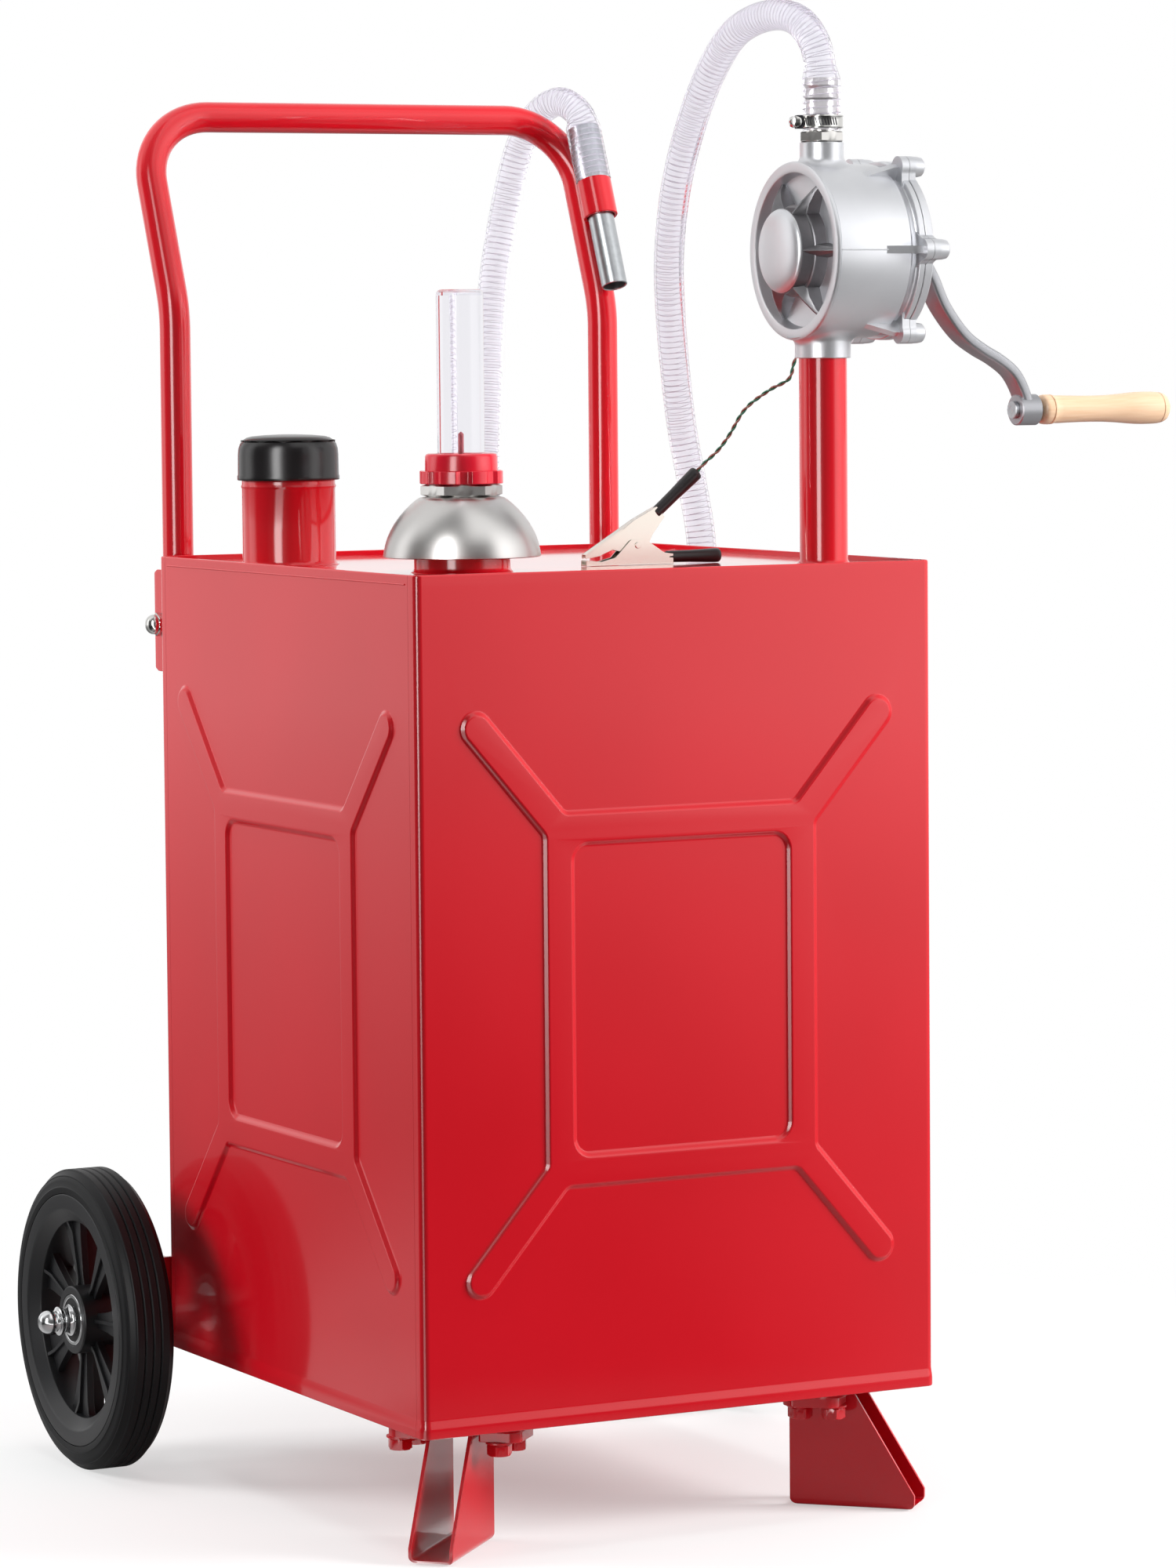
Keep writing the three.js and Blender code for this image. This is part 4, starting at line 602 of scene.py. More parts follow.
# %% [markdown]
# A flat part with holes in it is filled with triangles between its loops, and a slope is a strip of rows between two
# of them. Together they make the flat part of a wall with its cross. A wall's edge, from its bottom hem to its top,
# is one line of (height, how far it stands out).

# %% Pressed panel
sheet_middle = 425
wall_edge = [
    (101, -2), (98.7, -1.8), (98, -1.2), (98, 0.2), (98.4, 0.8), (99.2, 1), (104, 1), (106, 0.88), (108, 0.6),
    (110, 0.3), (112, 0.08), (113, 0), (742.5, 0), (750.4, 0), (751.3, -0.2), (751.9, -0.7), (752, -1.3),
    (751.4, -1.9), (744, -2),
]
panel_step = wall_edge.index((113, 0))


def filled(loops, height):
    """Flat faces inside the first loop and outside the others, at one height."""
    points = [Vector((p.x, p.y, height)) for loop in loops for p in loop]
    flat = [[Vector((p.x, p.y, 0)) for p in loop] for loop in loops]
    return points, [list(face) for face in tessellate_polygon(flat)]


def slope_rows(line, towards):
    """The band's sloping side, as rows beside the line. towards is 1 for its outer line and -1 for its inner."""
    rows = [(beside(line, s * towards), height) for s, height in press_slope]
    points = [Vector((p.x, p.y, height)) for row_line, height in rows for p in row_line]
    count = len(line)
    faces = []
    for i in range(len(rows) - 1):
        for k in range(count):
            n = (k + 1) % count
            faces.append([i * count + k, i * count + n, (i + 1) * count + n, (i + 1) * count + k])
    return points, faces


def pressed_panel(half_wide, ring, tip):
    """The flat part of a wall with its cross, drawn in x and y with the outside up."""
    low, high = wall_edge[panel_step][0] - sheet_middle, wall_edge[panel_step + 1][0] - sheet_middle
    border = [Vector(c) for c in ((-half_wide, low), (half_wide, low), (half_wide, high), (-half_wide, high))]
    outer = cross_outline(ring, tip)
    x, y = ring.x - 2 * half_band, ring.y - 2 * half_band
    inner = rounded([(-x, -y, 12), (x, -y, 12), (x, y, 12), (-x, y, 12)])
    return joined(
        filled([border, beside(outer, -1)], 0),
        slope_rows(outer, 1),
        filled([beside(outer, 4), beside(inner, -4)], band_height),
        slope_rows(inner, -1),
        filled([beside(inner, 1)], 0),
    )


print("panel of the front wall", len(pressed_panel(223, end_ring, end_tip)[1]), "faces")

# %% [markdown]
# The rest of a wall is its edge line, carried round the sheet's plan. The front and rear sheets are bent round the
# tank's corners and lap 12 mm over the side sheets, which leaves the narrow upright seam beside each corner.

# %% A wall from its plan
half_wide, half_deep, corner_bend, side_lap, sheet = 225, 238, 6, 12, 2


def wall(plan, flat_step, depth, ring, tip):
    """A wall that faces the front. Its plan is a list of (x, y, outward x, outward y)."""
    points = [(x + out_x * proud, y + out_y * proud, z) for x, y, out_x, out_y in plan for z, proud in wall_edge]
    rows = len(wall_edge)
    faces = []
    for i in range(len(plan) - 1):
        for k in range(rows - 1):
            if i != flat_step or k != panel_step:
                faces.append([i * rows + k, (i + 1) * rows + k, (i + 1) * rows + k + 1, i * rows + k + 1])
    panel = pressed_panel(plan[flat_step + 1][0], ring, tip)
    stood = [(p.x, -depth - p.z, p.y + sheet_middle) for p in panel[0]]
    return joined((points, faces), (stood, panel[1]))


def wrapped_plan():
    """The front or rear sheet: bent round both corners and lapping along the sides."""
    half = []
    for k in range(9):
        a = math.radians(270 + 90 * k / 8)
        out_x, out_y = math.cos(a), math.sin(a)
        half.append((half_wide + (out_x - 1) * corner_bend, (out_y + 1) * corner_bend - half_deep, out_x, out_y))
    half += [(half_wide, side_lap - half_deep, 1, 0), (half_wide - sheet, side_lap - half_deep, 1, 0)]
    return [(-x, y, -out_x, out_y) for x, y, out_x, out_y in half[::-1]] + half


print("points of the bent sheet's plan", len(wrapped_plan()))

# %% [markdown]
# The front and rear sheets share one shape, and so do the two side sheets, which have a thin fold along their top.
# All are drawn facing the front and then turned to their sides.

# %% Tank walls and plates
side_reach = 225.7
side_plan = [
    (-side_reach, sheet - half_wide, 0, -1), (-side_reach, -half_wide, 0, -1),
    (side_reach, -half_wide, 0, -1), (side_reach, sheet - half_wide, 0, -1),
]
end_wall = wall(wrapped_plan(), 10, half_deep, end_ring, end_tip)
top_fold = tube([Vector((x, -half_wide - 0.1, 744.6)) for x in (-221, 221)], 0.6, 12)
side_wall = joined(wall(side_plan, 1, half_wide, side_ring, side_tip), top_fold)
for name, shape, angle in (
    ("front", end_wall, 0), ("rear", end_wall, 180), ("right", side_wall, 90), ("left", side_wall, -90)
):
    make_piece(name + "_wall", moved(shape, turn(angle, "Z")), red_enamel, "red_paint",
               stands_for=["tank_" + name], sharp=40, flat=True)
dress(red_enamel, "tank_top", "tank_bottom", "axle_bracket_left", "axle_bracket_right")

# %% [markdown]
# The necks and the riser are pipes welded into the top sheet, so each has a small soft bead at its foot. Paint
# fills the weld, which makes it look like a fillet and not like a rough seam.

# %% Necks and riser


def pipe(radius, wall_thick, low, high, weld=2.5, extra=()):
    """A pipe standing in the top sheet, with a weld at its foot. extra gives more outer points, bottom first."""
    sheet_top = 747.9
    foot = [
        (radius + weld, sheet_top), (radius + weld, 748.3), (radius + weld * 0.55, 749), (radius + weld * 0.2, 750.2),
        (radius, 752),
    ]
    inner = radius - wall_thick
    mouth = [(radius, high - 0.5), (radius - 0.5, high), (inner + 0.4, high), (inner, high - 0.4)]
    return lathe([(inner, low), (radius, low), (radius, sheet_top), *foot, *extra, *mouth], closed=True)


bead = [(37.5, 809), (37.8, 809.8), (38.25, 811), (37.8, 812.2), (37.5, 813)]
on_filler, on_gauge, on_riser = shift(-171, 100, 0), shift(-125, -118, 0), shift(172, -163, 0)
for name, shape, place, node in (
    ("filler_pipe", pipe(37.5, 2, 738, 845, extra=bead), on_filler, "filler_neck"),
    ("gauge_pipe", pipe(37.25, 2, 738, 759.4), on_gauge, "gauge_neck"),
    ("pump_riser", pipe(19, 2, 738, 917), on_riser, "riser_pipe"),
):
    make_piece(name, moved(shape, place), red_enamel, "red_paint", stands_for=[node])

# %% [markdown]
# The screw cap is injection-moulded in black. Moulded plastic has a very fine texture from its tool, so its
# highlight is soft but still clear. That texture is drawn 0.8 mm wide, coarser than the real one, so that it shows.
# The gasket inside is nitrile rubber, dull and dark grey.

# %% Filler cap
black_plastic, tree, shader = new_finish("moulded_black_plastic", "#161415", Roughness=0.24)
bumped(tree, shader, grain(tree, 0.8).outputs["Fac"], 0.01, 0.35)

cap_profile = [
    (38.2, 816.6), (38.8, 816), (40.6, 816), (41, 816.5), (41, 819), (40.5, 820.4), (40.3, 836), (39.9, 841),
    (38.6, 845), (36.4, 847.9), (33.4, 849.8), (29.5, 850.9), (20, 851.8), (8, 852.3), (0, 852.3), (0, 848),
    (38.2, 848),
]
make_piece("screw_cap", moved(lathe(cap_profile, 128), on_filler), black_plastic, "black_plastic",
           "cap", stands_for=["filler_cap"], sharp=40)
matt_rubber, tree, shader = new_finish("nitrile_rubber", "#232323", Roughness=0.75)
bumped(tree, shader, grain(tree, 0.6).outputs["Fac"], 0.01, 0.4)
dress(matt_rubber, "cap_gasket")

# %% [markdown]
# The gauge stands on a spun dome of stainless steel. Spinning leaves very fine rings round the axis, so a tiny bump
# follows the distance from that axis. The rings are drawn about 0.6 mm apart, coarser than the tool's, to show.

# %% Gauge dome
spun_steel, tree, shader = new_finish("spun_stainless", "#CFCDCB", Metallic=1.0, Roughness=0.32)
place = add_node(tree, "ShaderNodeTexCoord").outputs["Object"]
gauge_axis = row(*on_gauge.translation)
from_axis = add_node(tree, "ShaderNodeVectorMath", {0: place, 1: gauge_axis}, operation="SUBTRACT").outputs["Vector"]
flat_place = add_node(tree, "ShaderNodeVectorMath", {0: from_axis, 1: (1, 1, 0)}, operation="MULTIPLY")
reach = add_node(tree, "ShaderNodeVectorMath", {0: flat_place.outputs["Vector"]}, operation="LENGTH").outputs["Value"]
rings_in_a_metre = 1800.0
rings = add_node(
    tree, "ShaderNodeTexNoise", {"W": reach, "Scale": rings_in_a_metre, "Detail": 1.0}, noise_dimensions="1D"
)
bumped(tree, shader, rings.outputs["Fac"], 0.012, 0.5)

dome_profile = [
    (35.3, 759.8), (60, 759.8), (61, 760.3), (61, 761.4), (60.5, 764.4), (59.5, 769.4), (57.8, 774.8), (55.4, 780.2),
    (52.3, 785.6), (48.6, 790.8), (44.3, 795.8), (39.8, 800.2), (35.8, 803.6), (32.8, 805.6), (29.6, 806.3),
    (22, 806.3), (22, 804.7),
]
make_piece("spun_dome", moved(lathe(dome_profile, 160), on_gauge), spun_steel, "bright_steel",
           stands_for=["gauge_dome"], sharp=50)

# %% [markdown]
# A brass bush with a nickel skin clamps the dome. A hexagon is never quite plain: its corners are turned down at
# both ends, so each flat ends in a curve. The nut is therefore a turned shape whose radius is held in by the flats.
# Nickel plate looks warmer than chrome and a little soft. The parts inside the tank get the zinc and the plastic.

# %% Hexagons and the gauge's bush


def nut(across, low, high, chamfer=0.6):
    """A hexagon nut whose corners are turned down at both ends."""
    reach = across / math.sqrt(3)
    rings = []
    for height, radius in ((low, across / 2 - 0.2), (low + chamfer, reach), (high - chamfer, reach),
                           (high, across / 2 - 0.2)):
        ring = []
        for k in range(48):
            a = math.radians(7.5 * k)
            flat = across / 2 / math.cos((a + math.radians(30)) % math.radians(60) - math.radians(30))
            r = min(radius, flat)
            ring.append((r * math.cos(a + math.pi / 6), r * math.sin(a + math.pi / 6), height))
        rings.append(ring)
    points = [p for ring in rings for p in ring]
    faces = [list(range(48))[::-1], list(range(144, 192))]
    for i in range(3):
        for k in range(48):
            n = (k + 1) % 48
            faces.append([i * 48 + k, i * 48 + n, i * 48 + 48 + n, i * 48 + 48 + k])
    return points, faces


nickel, tree, shader = new_finish("nickel_plate", "#CFCDCA", Metallic=1.0, Roughness=0.3)
bumped(tree, shader, grain(tree, 3).outputs["Fac"], 0.008, 0.4)
bush_shape = joined(nut(55, 806.6, 816, 1.4), lathe([(0, 786.6), (19.9, 786.6), (19.9, 807), (0, 807)], 48))
make_piece("gauge_bush", moved(bush_shape, turn(38.5, "Z"), on_gauge), nickel, "zinc", stands_for=["hex_bush"],
           sharp=28)
dress(zinc, "gauge_stem", "float_arm", "suction_tube")
dress(black_plastic, "gauge_float")
print("bush across its flats 55 mm, polygons", len(bush_shape[1]))

# %% [markdown]
# Plate parts are cut to an outline and have one thickness, so they are prisms. They can be drawn in any of the
# three directions.

# %% Cut shapes from plate


def prism(line, low, high):
    """A flat outline pushed from low to high along Z."""
    count = len(line)
    points = [(x, y, low) for x, y in line] + [(x, y, high) for x, y in line]
    walls = [[i, (i + 1) % count, count + (i + 1) % count, count + i] for i in range(count)]
    return points, [list(range(count))[::-1], list(range(count, 2 * count))] + walls


def prism_x(line, low, high):
    """A flat outline drawn in y and z, pushed along X."""
    points, faces = prism(line, low, high)
    return [(z, x, y) for x, y, z in points], faces


def prism_y(line, low, high):
    """A flat outline drawn in x and z, pushed along Y."""
    points, faces = prism(line, low, high)
    return [(x, z, y) for x, y, z in points], faces


print("faces of a triangle cut from plate", len(prism([(0, 0), (1, 0), (0, 1)], 0, 1)[1]))

# %% [markdown]
# A red moulded nut clamps the sight tube. It has eight lugs for the fingers round its lower ring and a plain
# collar above. It is injection-moulded polypropylene, with a smooth skin and a soft gloss.

# %% Collar nut
red_plastic, tree, shader = new_finish("moulded_red_plastic", "#C80E28", Roughness=0.24, Coat_Weight=0.3)
bumped(tree, shader, grain(tree, 1.2).outputs["Fac"], 0.008, 0.3)


def lugged_line(low, high, lugs, steps=16):
    """A round outline with square-shouldered lugs."""
    line = []
    for k in range(lugs * steps):
        part = (k % steps) / steps
        rise = min(1, max(0, 4.2 - abs(part - 0.5) * 12))
        a = 2 * math.pi * (k - steps / 2) / (lugs * steps)
        radius = low + (high - low) * rise * rise * (3 - 2 * rise)
        line.append((radius * math.cos(a), radius * math.sin(a)))
    return line


upper_collar = lathe([
    (18.7, 826), (28.2, 826), (28.2, 827.4), (28, 837.4), (27.2, 839), (25.8, 839.6), (19.6, 839.6), (18.7, 838.8),
], closed=True)
lower_collar = prism(lugged_line(29.6, 32.5, 8), 816.3, 826.3)
make_piece("collar", moved(joined(upper_collar, lower_collar), on_gauge), red_plastic, "red_plastic",
           stands_for=["collar_nut"], bevel=0.7)

# %% [markdown]
# The sight tube is a clear polycarbonate cup, upside down, so the level rod shows inside it. A real wall of 2 mm
# bends the view only at its edges, which a low IOR gives. The rod is a dull red plastic that shows pink through it.

# %% Sight tube and level rod
polycarbonate, tree, shader = new_finish(
    "clear_polycarbonate", "#F0EFF4", Roughness=0.02, IOR=1.1, Transmission_Weight=1.0, Coat_Weight=0.6,
    Coat_Roughness=0.03
)
bumped(tree, shader, grain(tree, 30, 0.0).outputs["Fac"], 0.05, 0.3)
cup_profile = [
    (16.15, 816.3), (18.35, 816.3), (18.35, 961.5), (18.1, 963.2), (17.2, 964.8), (15.6, 965.6), (0, 965.6),
    (0, 963.2), (14.6, 963.2), (15.8, 962.4), (16.15, 961),
]
make_piece("sight_cup", moved(lathe(cup_profile), on_gauge), polycarbonate, "clear_plastic",
           stands_for=["sight_tube"], sharp=50)
rod_plastic, tree, shader = new_finish("dull_red_rod", "#8E3A42", Roughness=0.5)
bumped(tree, shader, grain(tree, 2).outputs["Fac"], 0.006, 0.3)
dress(rod_plastic, "indicator_rod")

# %% [markdown]
# The pump's housing is cast aluminium, tumbled and then sprayed with a thin silver lacquer. Cast metal keeps a
# fine sandy texture under the lacquer, so its highlight is broad. The real grit is about 0.3 mm, and is drawn 1.3 mm
# wide so that it shows. The lacquer is a little cloudy, which a wide, faint change of tone gives.

# %% Cast aluminium
cast_aluminium, tree, shader = new_finish("lacquered_cast_aluminium", "#D3D4D7", Metallic=0.75, Roughness=0.36)
sand = grain(tree, 1.3, 3.0).outputs["Fac"]
tinted(tree, shader, grain(tree, 40, 3.0).outputs["Fac"], "#C8C9CD", "#D6D7DA")
bumped(tree, shader, sand, 0.03, 0.55)
print("casting", cast_aluminium.name)

# %% [markdown]
# The barrel is turned. Its two necks run into it with a fillet that follows the barrel, so the fillet's height is
# worked out from the barrel's own curve at each place. The six lugs stand round the right end, each with a gusset.

# %% Pump housing
pump_back, pump_height, barrel_radius, lugs = -163, 994, 68.2, 6
pump_axis = shift(0, pump_back, pump_height)


def neck(radius, barrel, end, up, fillet=7, steps=8, around=72):
    """A round neck that grows out of a barrel lying along X. up is 1 for a neck on top and -1 for one below."""
    rim = [(radius - 3, end), (radius - 0.5, end), (radius, end - 0.5)]
    points, faces = [], []
    for k in range(around):
        a = 2 * math.pi * k / around
        for r, z in rim:
            points.append((r * math.cos(a), r * math.sin(a), z * up))
        for i in range(steps + 1):
            t = math.radians(90 * i / steps)
            r = radius + fillet * (1 - math.cos(t))
            across = r * math.sin(a)
            z = math.sqrt(barrel * barrel - across * across) + fillet * (1 - math.sin(t))
            points.append((r * math.cos(a), across, z * up))
    rows = len(rim) + steps + 1
    for k in range(around):
        n = (k + 1) % around
        faces += [[k * rows + i, n * rows + i, n * rows + i + 1, k * rows + i + 1] for i in range(rows - 1)]
    return points, faces


barrel_profile = [
    (62, 149.6), (67.6, 149.6), (barrel_radius, 150.2), (barrel_radius, 212), (67.9, 213), (66, 214.4),
    (65.4, 215.6), (65.4, 219), (66, 219.8), (69.4, 220), (70, 220.5), (70, 224.6), (69.6, 225), (62, 225),
]
gusset = [(216, 76), (213, 75.6), (184, 66), (184, 60), (219, 60), (219, 76)]
lug_line = rounded([(62, -15), (75, -8.3, 6), (83.3, -8.3, 8), (83.3, 8.3, 8), (75, 8.3, 6), (62, 15)])
lug_shapes = []
for k in range(lugs):
    around = turn(360 / lugs * k, "X")
    lug_shapes.append(moved(prism_x(lug_line, 218.5, 225), around, pump_axis))
    lug_shapes.append(moved(prism_y(gusset, -3, 3), turn(-90, "X"), around, pump_axis))
parting_lines = [
    moved(tube([Vector((x, side * barrel_radius, 0)) for x in (150, 213.5)], 0.55, 12), pump_axis) for side in (-1, 1)
]
boss_profile = [(0, 0), (5, 0), (5, 26.4), (4.4, 27), (0, 27)]
earth_boss = moved(lathe(boss_profile, 32), turn(-90, "X"), shift(0, 0, 918), on_riser)
necks = joined(neck(22, barrel_radius, 84, -1), neck(17.3, barrel_radius, 85, 1))
housing = joined(
    moved(lathe(barrel_profile, 160), to_x, pump_axis), moved(necks, shift(0, 0, pump_height), on_riser), earth_boss,
    *lug_shapes, *parting_lines,
)
make_piece("pump_housing", housing, cast_aluminium, "cast_aluminium", stands_for=["pump_body"], sharp=35, bevel=0.6)

# %% [markdown]
# The cover faces the left. It is a shallow dish with a round boss, a step round the boss, and six wedge ribs that
# run out to the rim. The ribs are wide at the boss and at the web, and narrow at the rim and at the ridge, as a
# casting needs for its strength and its draft. The ribs and the boss's side get a rougher finish, and their darker
# colour is painted shade, because their flanks face the dark side of the studio.

# %% Pump cover
cover_profile = [
    (0, 127.6), (14, 128.1), (23, 129.3), (28, 130.6), (31, 132), (32.4, 133.4), (33, 135), (33.2, 143.6),
    (33.6, 144.6), (35, 145), (35.6, 145.8), (36.2, 154.4), (36.8, 155.6), (38.4, 156), (57.6, 156), (59.4, 155.4),
    (60.2, 154),
    (60.8, 147), (61.4, 146), (62.6, 145.6), (68.6, 145.6), (69.6, 146), (70, 147), (70, 148.6), (69.2, 149.2),
    (61.7, 149.2), (61.7, 160), (0, 160),
]
make_piece("pump_cover_casting", moved(lathe(cover_profile, 160), to_x, pump_axis), cast_aluminium, "cast_aluminium",
           stands_for=["pump_cover"], sharp=30)

# %% [markdown]
# The ribs and the boss's side are one piece with a finish of their own: the same casting, a little rougher, and darker
# as painted shade for flanks that face the dark side of the studio.
# Each rib is a skin through five sections, given by their distance out, their ridge and half their width.

# %% Ribs of the cover
# The darker colour of this finish is painted shade for the ribs' flanks and the boss's side.
shade_painted_cast, tree, shader = new_finish("shade_painted_cast_ribs", "#7E7D80", Metallic=0.85, Roughness=0.42)
tinted(tree, shader, grain(tree, 12, 3.0).outputs["Fac"], "#737275", "#8B8A8D")
bumped(tree, shader, grain(tree, 1.1, 3.0).outputs["Fac"], 0.04, 0.6)
rib_sections = [(31.5, 134.4, 6.6), (33.4, 135.2, 6.4), (44, 140.6, 4.8), (54, 147.4, 3.2), (60.6, 152.6, 2)]
web_face, rib_foot, step_limit = 156, 157, 146


def wedge_rib():
    """A rib from the boss out along Y to the rim, seen with its ridge towards -X. It has a step at half height."""
    points, faces = [], []
    for reach, x, wide in rib_sections:
        step = max(min((x + web_face) / 2, step_limit), x + 1.6)
        half = [(rib_foot, wide), (step, wide * 0.74), (step - 0.5, wide * 0.6), (x + 0.7, 1), (x, 0.6)]
        points += [(a, reach, -b) for a, b in half] + [(a, reach, b) for a, b in half[::-1]]
    count = len(half) * 2
    for i in range(len(rib_sections) - 1):
        for k in range(count):
            n = (k + 1) % count
            faces.append([i * count + k, i * count + n, i * count + count + n, i * count + count + k])
    last = len(points) - count
    return points, faces + [list(range(count)), list(range(last, last + count))]


skirt_profile = [
    (32.6, 134.5), (33.4, 135), (33.6, 143.5), (34, 144.3), (35.3, 144.7), (36, 145.6), (36.6, 154.3), (37.3, 155.7),
    (36.4, 156.2), (32.6, 156.2),
]
ribs = joined(moved(lathe(skirt_profile, 160, closed=True), to_x),
              *[moved(wedge_rib(), turn(360 / lugs * k, "X")) for k in range(lugs)])
make_piece("pump_cover_ribs", moved(ribs, pump_axis), shade_painted_cast, "cast_aluminium", sharp=30)

# %% [markdown]
# The right end is closed by a plate with a tapered boss for the shaft. Six screws run through the lugs, with their
# heads sunk in the round posts.

# %% End plate
plate_profile = [
    (8.1, 225.3), (70, 225.3), (70.4, 225.9), (70.4, 231.4), (69.6, 232.3), (41.5, 232.3), (39.4, 232.9), (21, 238.3),
    (19.4, 239), (8.1, 239),
]
post_profile = [(0, 230), (8.3, 230), (8, 236), (7.4, 239), (6.2, 240.2), (4.4, 240.8), (4.2, 239.2), (0, 239.2)]
lug_cap = joined(prism_x(lug_line, 225.3, 231), moved(lathe(post_profile, 40), to_x, shift(0, 75, 0)))
lug_caps = [moved(lug_cap, turn(360 / lugs * k, "X"), pump_axis) for k in range(lugs)]
make_piece("end_plate_casting", joined(moved(lathe(plate_profile, 128, closed=True), to_x, pump_axis), *lug_caps),
           cast_aluminium, "cast_aluminium", stands_for=["pump_end_plate"], bevel=0.5)
dress(zinc, "pump_rotor", "pump_shaft")

# %% [markdown]
# The crank is one casting. Hands have burnished it, so it is darker and a little shinier than the housing. Its arm is
# a flat bar that bends down and away from the pump and then down again, so the grip clears the tank. The bar gets
# narrower towards the grip.

# %% Crank
crank_points = [
    (251, 994), (261, 984), (268.7, 972), (279.5, 950.3), (299.1, 926.5),
    (316, 915.1), (330.7, 907.4), (345.4, 896.6), (354.2, 882.7), (359.8, 866.7),
]
crank_path, crank_length = smooth_line([Vector((x, pump_back, z)) for x, z in crank_points], 3)


def bar_section(thick, wide, radius=2.6):
    half_t, half_w = thick / 2, wide / 2
    corners = [(-half_w, -half_t, radius), (half_w, -half_t, radius), (half_w, half_t, radius),
               (-half_w, half_t, radius)]
    return rounded(corners, steps=4)


bar_thick, bar_wide, bar_taper = 9, 26, 7
crank_frames, crank_sections = [], []
for i in range(len(crank_path)):
    ahead = (crank_path[min(i + 1, len(crank_path) - 1)] - crank_path[max(i - 1, 0)]).normalized()
    crank_frames.append((Vector((0, 1, 0)), ahead.cross(Vector((0, 1, 0)))))
    share = i / (len(crank_path) - 1)
    crank_sections.append(bar_section(bar_thick, bar_wide - bar_taper * share))
on_pin = shift(0, pump_back, crank_points[-1][1])
boss_profile = [(4.3, 350.4), (11.6, 350.4), (12.5, 351.2), (12.5, 368.5), (11.6, 369.3), (4.3, 369.3)]
hub_profile = [(8.3, 240.5), (14.4, 240.5), (15, 241.1), (15, 261), (14, 262), (8.3, 262)]
cast_crank, tree, shader = new_finish("burnished_cast_crank", "#A2A2A6", Metallic=0.8, Roughness=0.38)
tinted(tree, shader, grain(tree, 30, 3.0).outputs["Fac"], "#98999D", "#ACACB0")
bumped(tree, shader, grain(tree, 1.3, 3.0).outputs["Fac"], 0.03, 0.5)
crank = joined(
    swept(crank_path, crank_sections, frames=crank_frames),
    moved(lathe(boss_profile, 64, closed=True), to_x, on_pin),
    moved(lathe(hub_profile, 64, closed=True), to_x, pump_axis),
)
make_piece("crank_casting", crank, cast_crank, "cast_aluminium", "crank", stands_for=["crank_arm"], sharp=35)
print("crank's bar", round(crank_length), "mm long")

# %% [markdown]
# A zinc-plated nut holds the crank on the shaft, and the grip's pin has a riveted head behind the boss.

# %% Nut and pin head
shaft_nut = joined(nut(17, 262.1, 268), lathe([(0, 268), (5, 268), (5, 270.4), (4.2, 271), (0, 271)], 32))
make_piece("shaft_nut", moved(shaft_nut, to_x, pump_axis), zinc, "zinc", "crank", sharp=28)
pin_head = lathe([(0, 346.9), (2.6, 346.9), (2.6, 348.9), (3.2, 348.9), (3.2, 346.9), (6.4, 346.9), (7, 347.5),
                  (7, 350.1), (0, 350.1)], 48)
make_piece("pin_head", moved(pin_head, to_x, on_pin), zinc, "zinc", "crank", sharp=28)
dress(zinc, "grip_pin")

# %% [markdown]
# The grip is turned beech with a clear varnish. Its fibres are drawn 2.2 mm wide, coarser than the real 0.3 mm, so
# that they show, and run along the grip, so the noise is stretched along that axis. The lathe leaves a fine groove
# near each end.

# %% Wooden grip
varnished_beech, tree, shader = new_finish(
    "varnished_beech", "#D8B393", Roughness=0.42, Coat_Weight=0.5, Coat_Roughness=0.12
)
fibre = grain(tree, 2.2, 5.0, squeeze=(0.06, 1, 1)).outputs["Fac"]
tinted(tree, shader, fibre, "#CBA27E", "#E2C4A6")
bumped(tree, shader, fibre, 0.03, 0.3)
grip_profile = [
    (4.1, 372.8), (8.4, 372.8), (9.5, 373.1), (10.8, 374), (11.7, 375.2), (12, 377.4), (12.1, 380.6), (11.3, 381.2),
    (11.3, 381.8), (12, 382.4), (11.8, 384.2), (11.2, 386), (11.3, 390), (11, 398), (10.7, 410), (10.6, 422),
    (10.8, 434), (11.5, 446), (12.4, 456), (13, 464), (13.2, 472), (13.1, 480), (12.8, 485), (12.1, 485.6),
    (12.1, 486.2), (12.5, 486.8), (12, 489.4), (10.9, 491.6), (9.4, 493), (8.4, 493.3), (7.4, 493.3), (7.4, 487.3),
    (4.1, 487.3),
]
make_piece("beech_grip", moved(lathe(grip_profile, closed=True), to_x, on_pin), varnished_beech, "light_wood",
           "grip", stands_for=["wooden_grip"], sharp=40)

# %% [markdown]
# The outlet has a nickel-plated hexagon with a barb that goes up inside the hose. The barb's two ridges have a slope
# upwards and a step below, so the hose goes on easily and doesn't come off.

# %% Outlet
barb_profile = [
    (7.6, 1075), (9.7, 1075), (9.7, 1086), (10, 1088), (10, 1112), (11.2, 1113.6), (10, 1118), (10, 1121),
    (11.4, 1123.6), (11.4, 1124.6), (10, barb_top), (7.6, barb_top),
]
outlet = joined(nut(33, 1079.3, 1087.3, 0.9), lathe(barb_profile, 64, closed=True))
make_piece("outlet_barb", moved(outlet, on_riser), nickel, "zinc", stands_for=["outlet_fitting"], sharp=28)

# %% [markdown]
# A band with a screw clamps the hose over the barb: a thin bright band, and two dark ears at the left with a screw
# through them. The band is polished steel and mirrors the studio. The ears are blued, which leaves a dark grey skin.

# %% Hose clamp
bright_steel, tree, shader = new_finish("polished_steel", "#D6D5D2", Metallic=1.0, Roughness=0.14)
bumped(tree, shader, grain(tree, 2).outputs["Fac"], 0.006, 0.4)
dark_steel, tree, shader = new_finish("blued_steel", "#4B4A4E", Metallic=1.0, Roughness=0.38)
bumped(tree, shader, grain(tree, 2.5, 3.0).outputs["Fac"], 0.01, 0.5)


def block(x0, x1, y0, y1, z0, z1):
    return prism([(x0, y0), (x1, y0), (x1, y1), (x0, y1)], z0, z1)


